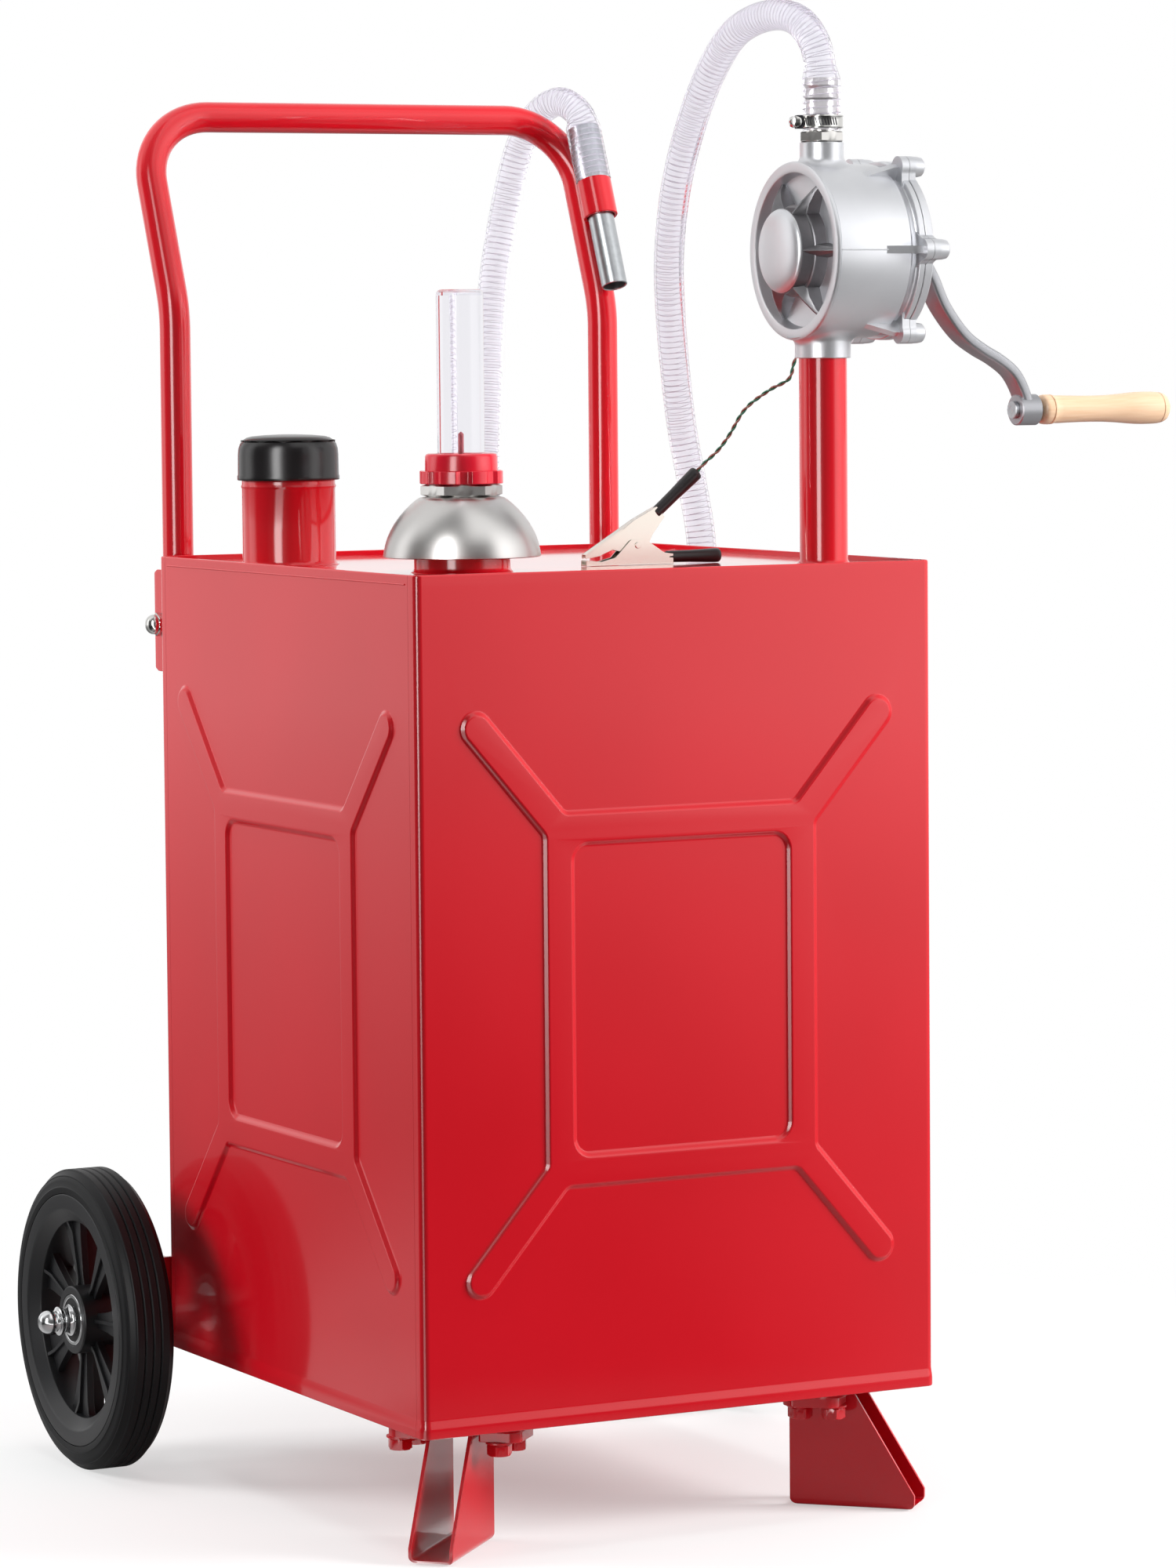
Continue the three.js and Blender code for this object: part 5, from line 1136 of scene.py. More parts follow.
band_profile = [
    (15.7, 1090.4), (16.9, 1090), (17.2, 1090.8), (16.8, 1091.6), (16.8, 1098.4), (17.2, 1099.2), (16.9, 1100),
    (15.7, 1099.6),
]
clamp_middle = shift(0, 0, 1095)
# The band's slots are holes. Thin blocks of dark steel stand in them as painted shade, for the dark that is seen
# through each hole.
slot_shade_blocks = [
    moved(block(-0.5, 0.5, 16.6, 17, -3, 3), turn(14, "Y"), turn(40 + 8 * k, "Z"), clamp_middle) for k in range(20)
]
clamp_ears = joined(*[block(-20.6, -14.5, y, y + 3.8, 1089.8, 1100.2) for y in (-6, 2.2)])
screw_line = [
    (0, -9.6), (2.2, -9.4), (3.8, -8.6), (4.3, -7.2), (4.3, -6.1), (2, -6), (2, 6), (4.2, 6.1), (4.2, 8.8), (3.6, 9.4),
    (0, 9.6),
]
worm_line = [(0, -3.4), (3.4, -2.6), (4.6, -0.6), (4.6, 0.6), (3.4, 2.6), (0, 3.4)]
clamp_screw = joined(
    moved(lathe(screw_line, 40), turn(-90, "X"), shift(-20.4, 0, 0)),
    moved(lathe(worm_line, 40), to_x, shift(-22.6, 0, 0)),
)
clamp_turn = turn(-22, "Z")
for name, shape, finish, facts in (
    ("clamp_band", lathe(band_profile, closed=True), bright_steel, {"stands_for": ["hose_clamp"]}),
    ("clamp_slot_shade", joined(*slot_shade_blocks), dark_steel, {}),
    ("clamp_housing", moved(clamp_ears, clamp_turn), dark_steel, {"bevel": 0.4}),
    ("clamp_screw", moved(clamp_screw, clamp_middle, clamp_turn), bright_steel, {}),
):
    make_piece(name, moved(shape, on_riser), finish, "bright_steel", sharp=28, **facts)

# %% [markdown]
# The push handle is one length of 25.4 mm tube: two uprights that lean back at a knee and join in a top bar with
# wide corners. The bends are true arcs, as a tube bender makes them.

# %% Push handle


def bent(places, bends):
    """Straight runs through the places with a round bend, given as (radius, steps), at each inner one."""
    path = [places[0]]
    for before, here, after, (radius, steps) in zip(places, places[1:], places[2:], bends):
        into, out = (here - before).normalized(), (after - here).normalized()
        angle = into.angle(out)
        inward = (out - into * into.dot(out)).normalized()
        centre = here - into * radius * math.tan(angle / 2) + inward * radius
        for k in range(steps + 1):
            a = angle * k / steps
            path.append(centre + (into * math.sin(a) - inward * math.cos(a)) * radius)
    return path + [places[-1]]


handle_foot, upper_run = 646, 173


def handle_place(side, up, along=0):
    """A place on the tube's middle line: at a height, and then so far along the leaning part."""
    return Vector((side * handle_half, handle_back, up)) + lean_up * along


left_places = [handle_place(-1, handle_foot), handle_place(-1, knee_height), handle_place(-1, knee_height, upper_run)]
right_places = [handle_place(1, knee_height, upper_run), handle_place(1, knee_height), handle_place(1, handle_foot)]
handle_path = bent(left_places + right_places, [(90, 8), (60, 16), (60, 16), (90, 8)])
make_piece("bent_handle", tube(handle_path, handle_radius, 56), red_enamel, "red_paint", stands_for=["handle_frame"],
           sharp=50)

sleeve_profile = [
    (12.1, -16.2), (12.5, -16.5), (14.2, -16.5), (14.7, -16), (14.7, 16), (14.2, 16.5), (12.5, 16.5), (12.1, 16.2),
]
holster_weld = tube([Vector((0, 14.7, z)) for z in (-15, 15)], 1.6, 16)
make_piece("holster_sleeve", leaning(joined(lathe(sleeve_profile, 72, closed=True), holster_weld)), red_enamel,
           "red_paint", stands_for=["nozzle_holster"])

# %% [markdown]
# Each upright stands in a folded channel that is welded to the rear wall, with a bolt across and a bright domed
# nut outside. A folded sheet keeps one thickness round its bends, so both faces are drawn with as many points.

# %% Folded sheet and the handle's brackets


def folded(outer, inner, low, high):
    """A sheet between two open lines with the same number of points, pushed along Z. low and high give each
    point's ends."""
    count = len(outer)
    points = []
    for line in (outer, inner):
        points += [(p.x, p.y, low(p)) for p in line] + [(p.x, p.y, high(p)) for p in line]
    faces = []
    for i in range(count - 1):
        for first in (0, 2 * count):
            faces.append([first + i, first + i + 1, first + count + i + 1, first + count + i])
        faces.append([i, i + 1, 2 * count + i + 1, 2 * count + i])
        faces.append([count + i, count + i + 1, 3 * count + i + 1, 3 * count + i])
    for i in (0, count - 1):
        faces.append([i, count + i, 3 * count + i, 2 * count + i])
    return points, faces


def corner_cut(value, start, radius):
    """How much a round corner takes off where value runs past its start."""
    past = min(max(value - start, 0), radius)
    return radius - math.sqrt(radius * radius - past * past)


def channel(x):
    """The bracket round an upright at x: open to the front, with its two rear corners trimmed round."""
    back, plate, half, low, high = 273.5, 3, 16.1, 656, 740
    extra = [238.3, 250, 258, 262, 265]

    def line(reach, rear, bend):
        left = [(x - reach, y) for y in extra] + [(x - reach, rear, bend)]
        return rounded(left + [(x + reach, rear, bend)] + [(x + reach, y) for y in extra[::-1]], False)

    def trim(p):
        return corner_cut(p.y, back - 10, 9.9)

    return folded(line(half, back, 4), line(half - plate, back - plate, 1), lambda p: low + trim(p),
                  lambda p: high - trim(p))


dome_line = [(0, 4.8), (7.6, 4.8), (8.1, 5.4), (8.2, 6.2), (7.9, 8.4), (6.9, 10.4), (5.2, 12), (2.8, 13), (0, 13.3)]
nut_face, bolt_height = 16.4, 695
cross_bolt = joined(
    moved(joined(nut(17, 0, 5), lathe(dome_line, 48)), shift(0, 0, nut_face)),
    nut(17, -nut_face - 6, -nut_face),
    lathe([(0, -nut_face), (5, -nut_face), (5, nut_face), (0, nut_face)], 32),
)
sides = (("left", -1, turn(180, "Z")), ("right", 1, Matrix.Identity(4)))
for side, sign, outside in sides:
    make_piece("channel_" + side, channel(handle_half * sign), red_enamel, "red_paint",
               stands_for=["handle_bracket_" + side], bevel=0.5)
    bolt = moved(cross_bolt, to_x, outside, shift(handle_half * sign, handle_back, bolt_height))
    make_piece("domed_bolt_" + side, bolt, bright_steel, "bright_steel", stands_for=["handle_bolt_" + side], sharp=28)

# %% [markdown]
# Each wheel has a solid rubber tyre on a moulded hub. The tyre's mould leaves a fine raised ring at each shoulder
# and three thin grooves round the tread, and a satin skin with dust in its pores. Rubber with carbon black in it
# sends back hardly any light, so its colour is close to black. A section is the same on both sides, so only its
# outer half is written down, as (radius, distance from the wheel's middle).

# %% Tyres
tyre_rubber, tree, shader = new_finish("solid_tyre_rubber", "#08080A", Roughness=0.5, Specular_IOR_Level=0.25)
dust = grain(tree, 25, 4.0).outputs["Fac"]
tinted(tree, shader, dust, "#060607", "#0B0B0D")
bumped(tree, shader, grain(tree, 1.0, 3.0).outputs["Fac"], 0.02, 0.35)

outer_half = [
    (100.3, 18.7), (104.3, 18.7), (104.3, 21.8), (104.8, 22), (109.4, 22), (110, 21.6), (110.6, 21.3), (114.6, 21),
    (116.6, 20.4), (118.2, 19.4), (118.8, 19.4), (119.3, 19.1), (119.6, 18.4), (121.2, 16.6), (122.2, 15.2),
    (122.9, 14.6), (123.4, 14.5), (124, 13.8), (124, 8.2), (123.7, 7.9), (122.6, 7), (123.7, 6.1), (124, 5.8),
    (124, 1.2), (123.7, 0.9),
]
middle_groove = (122.6, 0)


def mirrored_half(half):
    """The inner half of a section, from its outer half."""
    return [(radius, -x) for radius, x in half[::-1]]


tyre_profile = outer_half + [middle_groove] + mirrored_half(outer_half)
wheel_middle, axle_back, axle_height = 286, 254, 124


def on_wheel(sign, outside, middle=wheel_middle):
    """From a wheel drawn about its own middle, with its outer face towards +X, to its place."""
    return outside, shift(sign * middle, axle_back, axle_height)


for side, sign, outside in sides:
    tyre = moved(lathe(tyre_profile, 192, closed=True), to_x, *on_wheel(sign, outside))
    make_piece("solid_tyre_" + side, tyre, tyre_rubber, "tyre_rubber", "wheel_" + side, stands_for=["tyre_" + side],
               sharp=30)

# %% [markdown]
# The hub is moulded polypropylene: a barrel with a cone inside its lip, seven spokes and a boss for the bearings.
# Each spoke is a flat blade that gets wider outwards, with a rib across it that is low outside and deep inside. The
# plastic is black with a satin skin, a little lighter than the tyre.

# %% Wheel hubs
hub_plastic, tree, shader = new_finish("moulded_hub_plastic", "#131315", Roughness=0.4)
bumped(tree, shader, grain(tree, 0.9).outputs["Fac"], 0.012, 0.35)

barrel_half = [
    (100, 18.6), (103.4, 18.6), (104, 19), (104, 21.4), (103.4, 22), (92.6, 22), (91.2, 21.6), (90, 20.6),
    (82.4, 14.8), (81.3, 13.8), (81, 12.4),
]
boss_half = [(18.2, 10.7), (21.4, 10.7), (21.4, 19.4), (22, 20), (27, 20), (28, 19)]
spokes, first_spoke = 7, 17


def t_spoke():
    """A spoke along Z: a flat blade that gets wider outwards, with a low rib outside and a deep one inside."""
    half_line = [(6.4, 25), (6.6, 32), (8.4, 46), (12.6, 68), (15, 76), (19, 83)]
    blade_line = half_line + [(-a, b) for a, b in half_line[::-1]]
    rib_line = [(-12, 25), (12, 25), (10.4, 34), (10.4, 72), (13.6, 83), (-13.6, 83), (-12, 74)]
    return joined(prism_x(blade_line, 2, 8), prism_y(rib_line, -1.5, 1.5))


hub_shape = joined(
    moved(lathe(barrel_half + mirrored_half(barrel_half), 192, closed=True), to_x),
    moved(lathe(boss_half + mirrored_half(boss_half), closed=True), to_x),
    *[moved(t_spoke(), turn(first_spoke + 360 / spokes * k, "X")) for k in range(spokes)],
)
for side, sign, outside in sides:
    make_piece("hub_" + side, moved(hub_shape, *on_wheel(sign, outside)), hub_plastic, "black_plastic",
               "wheel_" + side, stands_for=["rim_" + side], bevel=0.7)

# %% [markdown]
# The bearings and the domed nuts are bright chrome, which mirrors the dark side of the studio as sharply as the light
# one. A sealed bearing shows an outer ring, a dark seal and an inner ring, each with a tiny chamfer. The nut is a
# ball-shaped cap with a thin flange, on a waisted spacer.

# %% Bearings, nuts and axle
chrome, tree, shader = new_finish("bright_chrome", "#DCDDDE", Metallic=1.0, Roughness=0.14)
bumped(tree, shader, grain(tree, 4).outputs["Fac"], 0.004, 0.3)
bearing_section = [
    (8.4, 11.2), (8.4, 19.6), (8.8, 20), (11.6, 20), (12, 19.6), (12, 18.7), (18, 18.7), (18, 19.6), (18.4, 20),
    (20.6, 20), (21, 19.6), (21, 11.2),
]
seal = lathe([(12, 18.6), (18, 18.6), (18, 18.9), (16.6, 19.2), (13.4, 19.2), (12, 18.9)], 64, closed=True)
cap_section = [
    (0, 316.4), (11.2, 316.4), (11.8, 316.8), (11.8, 318.2), (11.2, 318.6), (9.6, 319), (9.9, 319.4), (8.5, 320.2),
    (8.3, 321.2), (9.3, 322.4), (9.9, 324), (10, 325.4), (9.8, 327.4), (9, 330), (7.6, 332.2), (5.6, 333.9),
    (3, 334.8), (0, 335),
]
spacer_section = [
    (8.3, 306.3), (12.6, 306.3), (13, 306.7), (13, 308.1), (12.6, 308.5), (11, 308.8), (10.2, 310), (9.9, 312.6),
    (10.2, 314.6), (11, 315.6), (11, 316.4), (8.3, 316.4),
]
axle_cap = joined(lathe(cap_section), lathe(spacer_section, closed=True))
for side, sign, outside in sides:
    place = (to_x, *on_wheel(sign, outside))
    make_piece("bearing_rings_" + side, moved(lathe(bearing_section, closed=True), *place), chrome, "bright_steel",
               "wheel_" + side, stands_for=["bearing_outer_" + side])
    make_piece("bearing_seal_" + side, moved(seal, *place), matt_rubber, "black_rubber", "wheel_" + side)
    make_piece("axle_cap_" + side, moved(axle_cap, to_x, *on_wheel(sign, outside, 0)), chrome, "bright_steel",
               stands_for=["axle_nut_" + side], sharp=28)
dress(chrome, "bearing_inner_left", "bearing_inner_right")
dress(zinc, "axle", "axle_spacer_left", "axle_spacer_right")

# %% [markdown]
# The front feet are folded channels with ears that are bolted up under the tank. Each is cut on a slant, so its foot
# reaches out to the tank's corner. Under each ear lies a thick pad, with two lock nuts below it. They are painted
# with the tank, so they are as red as it is.

# %% Front feet
ear_points = [55, 53.5, 51.5, 49, 46, 43]
foot_tip, foot_back, foot_bend, ear_top = 12, 114, 6, 97.7
slope_from, slope_high, slope_run = 12, 85.7, 52


def foot_line(half, floor_height, ear_height, ear_bend, floor_bend):
    """One face of the folded sheet, from the left ear down round the channel and up to the right ear."""
    left = [(-p, ear_height) for p in ear_points] + [(-half, ear_height, ear_bend), (-half, slope_from)]
    under = [(-half, floor_height, floor_bend), (half, floor_height, floor_bend), (half, slope_from)]
    return rounded(left + under + [(half, ear_height, ear_bend)] + [(p, ear_height) for p in ear_points[::-1]], False)


def foot_trim(p):
    """What the round corners of the sole and of the ears take off."""
    return corner_cut(foot_bend - p.y, 0, foot_bend), corner_cut(abs(p.x), 43, 12)


def foot_start(p):
    sole, ear = foot_trim(p)
    return foot_tip + max(p.y - slope_from, 0) / slope_high * slope_run + sole + ear


def foot_end(p):
    sole, ear = foot_trim(p)
    return foot_back - sole - ear


outer_line, inner_line = foot_line(18, 0, ear_top - 4, 3, 6), foot_line(15, 3, ear_top, 6, 3)
foot_sheet = folded(outer_line, inner_line, foot_start, foot_end)
foot_shape = ([(z, x, y) for x, y, z in foot_sheet[0]], foot_sheet[1])
print("foot sheet", len(foot_shape[1]), "faces")

# %% [markdown]
# The pads and nuts are drawn once, beside the left foot's middle, and stand twice on each foot. The nuts are turned
# a little from each other, as tightened nuts are.

# %% Feet, pads and nuts
ear_nut = joined(nut(17, 75, 84.4, 1.2), lathe([(0, 84.2), (10.4, 84.2), (10.8, 84.6), (10.8, 85.8), (0, 85.8)], 48))
ear_pad = prism(rounded([(66, 21, 2), (112, 21, 2), (112, 46, 8), (104, 54, 8), (72, 54, 8), (66, 48, 6)]), 85.7, 93.8)
for side, sign, outside in sides:
    place = (turn(90 + 45 * sign, "Z"), shift(half_wide * sign, -half_deep, 0))
    make_piece("foot_" + side, moved(foot_shape, *place), red_enamel, "red_paint", stands_for=["leg_" + side],
               bevel=0.5)
    spots = [(73, 36 * sign), (99, 40 * sign), (78, -46 * sign), (103, -42 * sign)]
    ear_nuts = joined(*[moved(ear_nut, turn(14 * k, "Z"), shift(*spot, 0)) for k, spot in enumerate(spots)])
    ear_pads = joined(ear_pad, moved(ear_pad, turn(180, "X"), shift(0, 0, 179.5)))
    make_piece("foot_pads_" + side, moved(ear_pads, *place), red_enamel, "red_paint", sharp=28, bevel=0.6)
    make_piece("foot_nuts_" + side, moved(ear_nuts, *place), red_enamel, "red_paint", sharp=28)

# %% [markdown]
# The earth clip is folded from thin nickel-plated sheet, with teeth on both jaws, a pin, a dark spring and two black
# vinyl sleeves. Its upper half turns on the pin. Everything on it is drawn from the pin's middle. The plate is pale
# and warm, and the sleeves are dipped vinyl, soft and slightly uneven, with a dull gloss.

# %% Earth clip
pale_nickel, tree, shader = new_finish("pale_nickel_sheet", "#E6DFD5", Metallic=1.0, Roughness=0.24)
bumped(tree, shader, grain(tree, 4, 3.0).outputs["Fac"], 0.02, 0.4)
vinyl, tree, shader = new_finish("black_vinyl", "#1F1D1E", Roughness=0.34)
bumped(tree, shader, grain(tree, 7, 3.0).outputs["Fac"], 0.12, 0.5)
on_clip = shift(43, -88, 763.7)


def teeth(start, end, count, height):
    """A zigzag between two places, whose points stand out by height."""
    line = []
    for k in range(count):
        for share, rise in ((k, 0), (k + 0.5, height)):
            line.append((start[0] + (end[0] - start[0]) * share / count,
                         start[1] + (end[1] - start[1]) * share / count + rise))
    return line + [end]


lower_side = rounded(
    [(-46, -15.4), (32, -15.4), (32, -7.4), (24, -6.4), (7, 4.6, 4), (-6, 4.6, 4), (-20, -9.4)]
    + teeth((-33, -12.6), (-46, -11.2), 6, 0.7))
upper_side = rounded(
    teeth((-46, -9.3), (-33, -7.3), 6, -0.7)
    + [(-22, -3), (-8, -6, 3), (7, -6, 3), (14, 8), (25, 22), (18, 30), (-2, 20), (-46, -6.5)])
upper_strip = [(-46, -6.5), (-2, 20), (18, 30), (18.8, 29.1), (-1.4, 19), (-45.2, -7.4)]
lower_jaw = joined(
    prism_y(lower_side, 3.7, 4.6), prism_y(lower_side, -4.6, -3.7), block(-46, 32, -4.6, 4.6, -15.4, -14.5)
)
upper_jaw = joined(prism_y(upper_side, 2.5, 3.4), prism_y(upper_side, -3.4, -2.5), prism_y(upper_strip, -3.4, 3.4))
pin_line = [
    (0, -5.5), (2.3, -5.5), (2.5, -5.2), (2.5, -4.7), (1.6, -4.6), (1.6, 4.6), (2.5, 4.7), (2.5, 5.2), (2.3, 5.5),
    (0, 5.5),
]
clip_pin = moved(lathe(pin_line, 32), turn(-90, "X"))
print("clip's jaws", len(lower_jaw[1]), "and", len(upper_jaw[1]), "faces")

# %% [markdown]
# The sleeves are slipped over the two handles and get thicker towards their ends. The spring is a coil on the pin with
# two legs that push the handles apart.

# %% Sleeves, spring and the clip's pieces
sleeve_line = [
    (0, 0), (4.2, 0), (4.6, 0.5), (4.7, 10), (4.8, 22), (5.3, 36), (5.6, 46), (5.5, 48.6), (5, 49.4), (0, 49.4),
]
lower_sleeve = moved(lathe([(r, x * 0.96) for r, x in sleeve_line], 48), to_x, shift(28, 0, -9.8))
upper_sleeve = moved(lathe(sleeve_line, 48), to_x, turn(-40, "Y"), shift(18, 0, 24.5))
coil_turns = [k * math.pi / 8 for k in range(61)]
spring_coil = [Vector((math.cos(a) * 3, -2 + a / 6, math.sin(a) * 3)) for a in coil_turns]
clip_spring = tube([Vector((16, -2.1, -9)), *spring_coil, Vector((14, 2, 12))], 0.5, 10)
make_piece("lower_jaw", moved(joined(lower_jaw, clip_pin), on_clip), pale_nickel, "bright_steel",
           stands_for=["clip_lower"], bevel=0.15)
make_piece("lower_sleeve", moved(lower_sleeve, on_clip), vinyl, "black_rubber")
make_piece("clip_spring", moved(clip_spring, on_clip), dark_steel, "bright_steel", sharp=60)
make_piece("upper_jaw", moved(upper_jaw, on_clip), pale_nickel, "bright_steel", "clip_jaw",
           stands_for=["clip_upper"], bevel=0.15)
upper_grip = make_piece("upper_sleeve", moved(upper_sleeve, on_clip), vinyl, "black_rubber", "clip_jaw")

# %% [markdown]
# The earth lead is a thin twisted pair, one strand green and one brown. It hangs from a small boss under the pump
# to the clip's upper sleeve. The two strands wind round each other once in 15 mm. Their covers are soft plastic,
# dull and a little faded.

# %% Earth lead
lead_points = [
    (0.172, -0.1357, 0.918), (0.171, -0.129, 0.917), (0.167, -0.126, 0.906), (0.161, -0.129, 0.894),
    (0.147, -0.122, 0.885), (0.132, -0.109, 0.870), (0.122, -0.100, 0.849), (0.115, -0.094, 0.837),
    (0.106, -0.090, 0.828), (0.099, -0.088, 0.8205),
]
green_cover, tree, shader = new_finish("green_lead_cover", "#2E6B52", Roughness=0.42)
tinted(tree, shader, grain(tree, 8).outputs["Fac"], "#285F49", "#36785D")
brown_cover, tree, shader = new_finish("brown_lead_cover", "#8A5E55", Roughness=0.42)
tinted(tree, shader, grain(tree, 8).outputs["Fac"], "#7C524A", "#9A6C62")
lead_line, lead_length = smooth_line([Vector(p) * 1000 for p in lead_points], 1.0)
lead_frames = frames_along(lead_line)
lay_length, strand_offset, strand_radius = 15, 0.78, 0.8


def strand(phase):
    """One of the two strands, wound round the lead's middle line."""
    path = []
    for i, (place, (side, up)) in enumerate(zip(lead_line, lead_frames)):
        a = 2 * math.pi * i * lead_length / (len(lead_line) - 1) / lay_length + phase
        path.append(place + (side * math.cos(a) + up * math.sin(a)) * strand_offset)
    return tube(path, strand_radius, 12)


sag = ("caddy", "clip_jaw", row(*lead_line[6]), row(*lead_line[-1]))
brown_strand = make_piece("brown_strand", strand(math.pi), brown_cover, "lead_cover", sharp=60, bend=sag)
green_strand = make_piece("green_strand", strand(0), green_cover, "lead_cover", stands_for=["earth_lead"], sharp=60,
                          bend=sag)
print("earth lead", round(lead_length), "mm")

# %% [markdown]
# Metal and enamel show their surroundings, so these are planned as a photographer plans a studio. Each row of panels
# gives the brightness round the object, as pairs of (degrees to the right of the camera, brightness). The low row is
# white behind the object, with a bright narrow panel to the camera's left, darkness beside it, and a broad white
# panel to the right. The high row is what upward slopes mirror, such as the dome: dark at the camera's side, with one
# soft panel to its right.

# %% Surroundings
low_panels = [
    (-180, 1.0), (-140, 1.0), (-129, 0.75), (-116, 0.75), (-109, 1.6), (-93, 1.5), (-84, 0.12), (-54, 0.1),
    (-36, 0.3), (-31, 10.0), (-18, 10.0), (-13, 0.7), (-4, 0.3), (2, 0.14), (40, 0.14), (47, 0.3), (53, 1.0),
    (60, 2.2), (74, 2.0), (100, 1.2), (112, 1.0), (180, 1.0),
]
high_panels = [
    (-180, 0.8), (-120, 1.0), (-80, 1.1), (-62, 0.35), (-12, 0.25), (8, 0.5), (20, 1.3), (75, 1.3), (100, 0.6),
    (180, 0.8),
]


def surroundings(tree, direction, panels):
    """How bright the studio is in a direction, as bright metal shows it."""
    to_camera = Vector((camera_turn.col[2].x, camera_turn.col[2].y, 0)).normalized()
    to_right = Vector((-to_camera.y, to_camera.x, 0))
    across = add_node(tree, "ShaderNodeVectorMath", {0: direction, 1: to_right}, operation="DOT_PRODUCT")
    along = add_node(tree, "ShaderNodeVectorMath", {0: direction, 1: to_camera}, operation="DOT_PRODUCT")
    angle = add_node(
        tree, "ShaderNodeMath", {0: across.outputs["Value"], 1: along.outputs["Value"]}, operation="ARCTAN2"
    )
    around = add_node(
        tree, "ShaderNodeMapRange", {"Value": angle.outputs["Value"], "From Min": -math.pi, "From Max": math.pi}
    )
    ramp = add_node(tree, "ShaderNodeValToRGB", {"Fac": around.outputs["Result"]})
    stops = ramp.color_ramp.elements
    while len(stops) < len(panels):
        stops.new(0.5)
    for stop, (degrees, light) in zip(stops, panels):
        stop.position = degrees / 360 + 0.5
        stop.color = (light, light, light, 1)
    return ramp


print("panels", len(low_panels), "low and", len(high_panels), "high")

# %% [markdown]
# The floor is pale and grows into plain white with distance, by mixing its matt surface with a white glow. Near the
# object the matt part keeps the shadow. The glow has three strengths. The camera and clear plastic see it white.
# Enamel and metal see the panels in it, darker near the object, so the tank's reflections fade downwards. A ray
# through rough clear plastic counts as glossy too, so those are taken out. Matt surfaces get only 0.4 of it, because
# a floor as bright as a lamp would light every tube from below and make it look flat.

# %% How the floor glows
white_floor, tree, shader = new_finish("pale_studio_floor", "#F4F4F4", Roughness=0.9, Specular_IOR_Level=0.1)
place = add_node(tree, "ShaderNodeTexCoord").outputs["Object"]
distance = add_node(tree, "ShaderNodeVectorMath", {0: place}, operation="LENGTH").outputs["Value"]
far = add_node(tree, "ShaderNodeMapRange", {"Value": distance, "From Min": 0.1, "From Max": 1.0, "To Min": 0.35})
shown = add_node(tree, "ShaderNodeMapRange", {"Value": distance, "From Min": 2.2, "From Max": 10.0, "To Min": 0.25})
panel_light = surroundings(tree, place, low_panels).outputs["Color"]
reflected = add_node(tree, "ShaderNodeMath", {0: panel_light, 1: shown.outputs["Result"]}, operation="MULTIPLY")
seen = add_node(tree, "ShaderNodeLightPath").outputs
mirrored = add_node(
    tree, "ShaderNodeMath", {0: seen["Is Glossy Ray"], 1: seen["Is Transmission Ray"]}, operation="SUBTRACT"
)
direct = add_node(tree, "ShaderNodeMath", {0: mirrored.outputs["Value"], 1: -1.0, 2: 1.0}, operation="MULTIPLY_ADD")
level = add_node(tree, "ShaderNodeMix", {"Factor": direct.outputs["Value"], 2: reflected.outputs["Value"], 3: 1.0})
dimmed = add_node(tree, "ShaderNodeMix", {"Factor": seen["Is Diffuse Ray"], 2: level.outputs[0], 3: 0.4})
glow = add_node(tree, "ShaderNodeEmission", {"Color": (1, 1, 1, 1), "Strength": dimmed.outputs[0]})
mixed = add_node(
    tree, "ShaderNodeMixShader", {0: far.outputs["Result"], 1: shader.outputs["BSDF"], 2: glow.outputs["Emission"]}
)
tree.links.new(mixed.outputs["Shader"], tree.nodes["Material Output"].inputs["Surface"])
print("floor", white_floor.name, len(tree.nodes), "nodes")

# %% [markdown]
# The floor itself is a wide disc of 20 m radius, half a millimetre below the wheels, so that it never flickers
# with their lowest faces.

# %% Floor
disc = bpy.data.meshes.new("floor")
floor_radius, floor_height = 20, -0.0005
rim_angles = [math.radians(5 * k) for k in range(72)]
disc_points = [(floor_radius * math.cos(a), floor_radius * math.sin(a), floor_height) for a in rim_angles]
disc.from_pydata(disc_points, [], [list(range(72))])
disc.materials.append(white_floor)
floor = bpy.data.objects.new("floor", disc)
scene.collection.objects.link(floor)
print("floor radius", floor_radius, "m")

# %% [markdown]
# The world is plain white for the camera and through clear plastic. Bright surfaces see the planned panels, the low
# row up to about 24 degrees and the high row from about 49 degrees, and matt ones get an even fill.

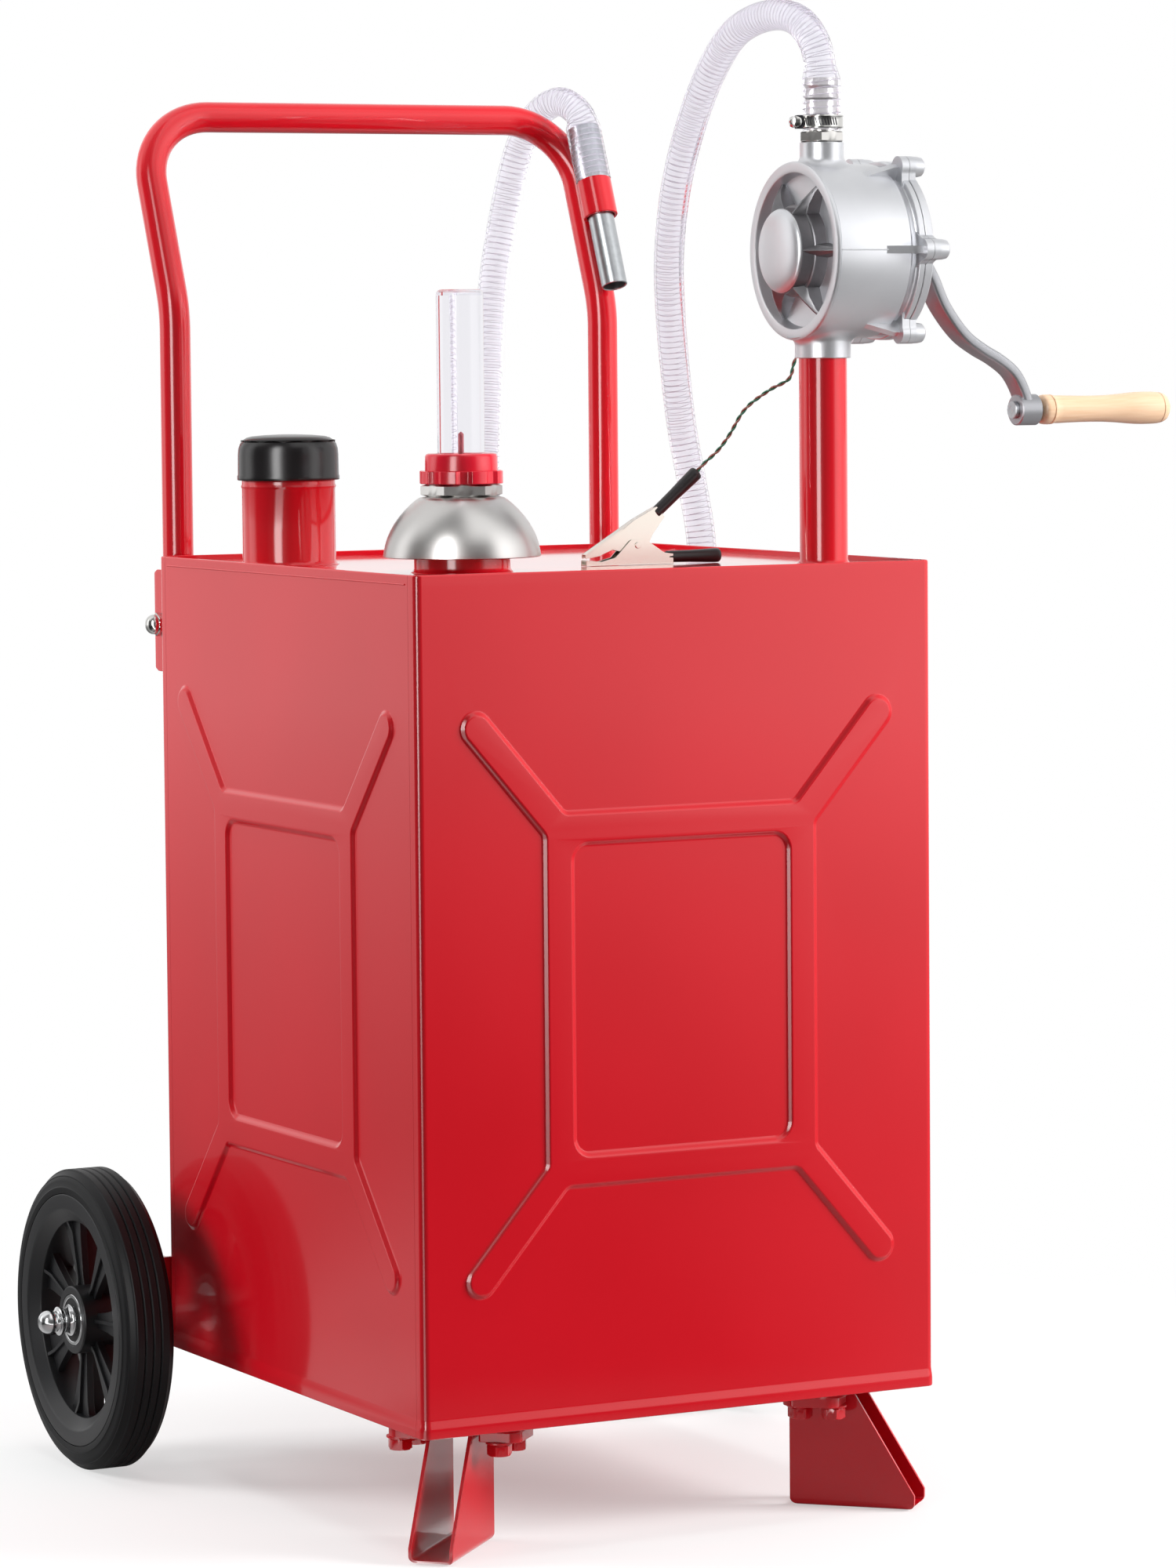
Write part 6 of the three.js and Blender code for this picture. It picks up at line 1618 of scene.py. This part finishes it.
# %% World
world = bpy.data.worlds.new("studio")
scene.world = world
world.use_nodes = True
tree = world.node_tree
seen = add_node(tree, "ShaderNodeLightPath").outputs
place = add_node(tree, "ShaderNodeTexCoord").outputs["Generated"]
height = add_node(tree, "ShaderNodeSeparateXYZ", {"Vector": place}).outputs["Z"]
upper = add_node(tree, "ShaderNodeMapRange", {"Value": height, "From Min": 0.4, "From Max": 0.75}).outputs["Result"]
low_light = surroundings(tree, place, low_panels).outputs["Color"]
high_light = surroundings(tree, place, high_panels).outputs["Color"]
glossy = add_node(tree, "ShaderNodeMix", {"Factor": upper, 2: low_light, 3: high_light})
fill = add_node(tree, "ShaderNodeMix", {"Factor": seen["Is Glossy Ray"], 2: 0.26, 3: glossy.outputs[0]})
direct = add_node(
    tree, "ShaderNodeMath", {0: seen["Is Camera Ray"], 1: seen["Is Transmission Ray"]}, operation="MAXIMUM"
)
strength = add_node(tree, "ShaderNodeMix", {"Factor": direct.outputs["Value"], 2: fill.outputs[0], 3: 1.0})
tree.links.new(strength.outputs[0], tree.nodes["Background"].inputs["Strength"])
tree.nodes["Background"].inputs["Color"].default_value = (1, 1, 1, 1)
print("world", world.name, len(tree.nodes), "nodes")

# %% [markdown]
# Three square softboxes light the matt surfaces: a strong one at the right front, a weaker one at the left and a soft
# one overhead. They stand at the sides, so that every tube gets a light side and a dark side.

# %% Lamps


def softbox(name, place, aim, wide, high, watts):
    """A rectangular area light. Its place and aim are in tank millimetres, its size in metres."""
    data = bpy.data.lights.new(name, "AREA")
    data.shape = "RECTANGLE"
    data.size, data.size_y = wide, high
    data.energy = watts
    lamp = bpy.data.objects.new(name, data)
    scene.collection.objects.link(lamp)
    lamp.location = row(*place)
    lamp.rotation_euler = (row(*aim) - row(*place)).to_track_quat("-Z", "Y").to_euler()
    lamp.visible_glossy = False
    print(name, watts, "W")


softbox("right_front", (2500, -1850, 1500), (60, 0, 500), 1.4, 1.4, 166)
softbox("left_side", (-2400, 1500, 1500), (0, 0, 700), 1.2, 1.2, 76)
softbox("overhead", (0, 100, 2900), (0, 0, 600), 1.8, 1.8, 40)
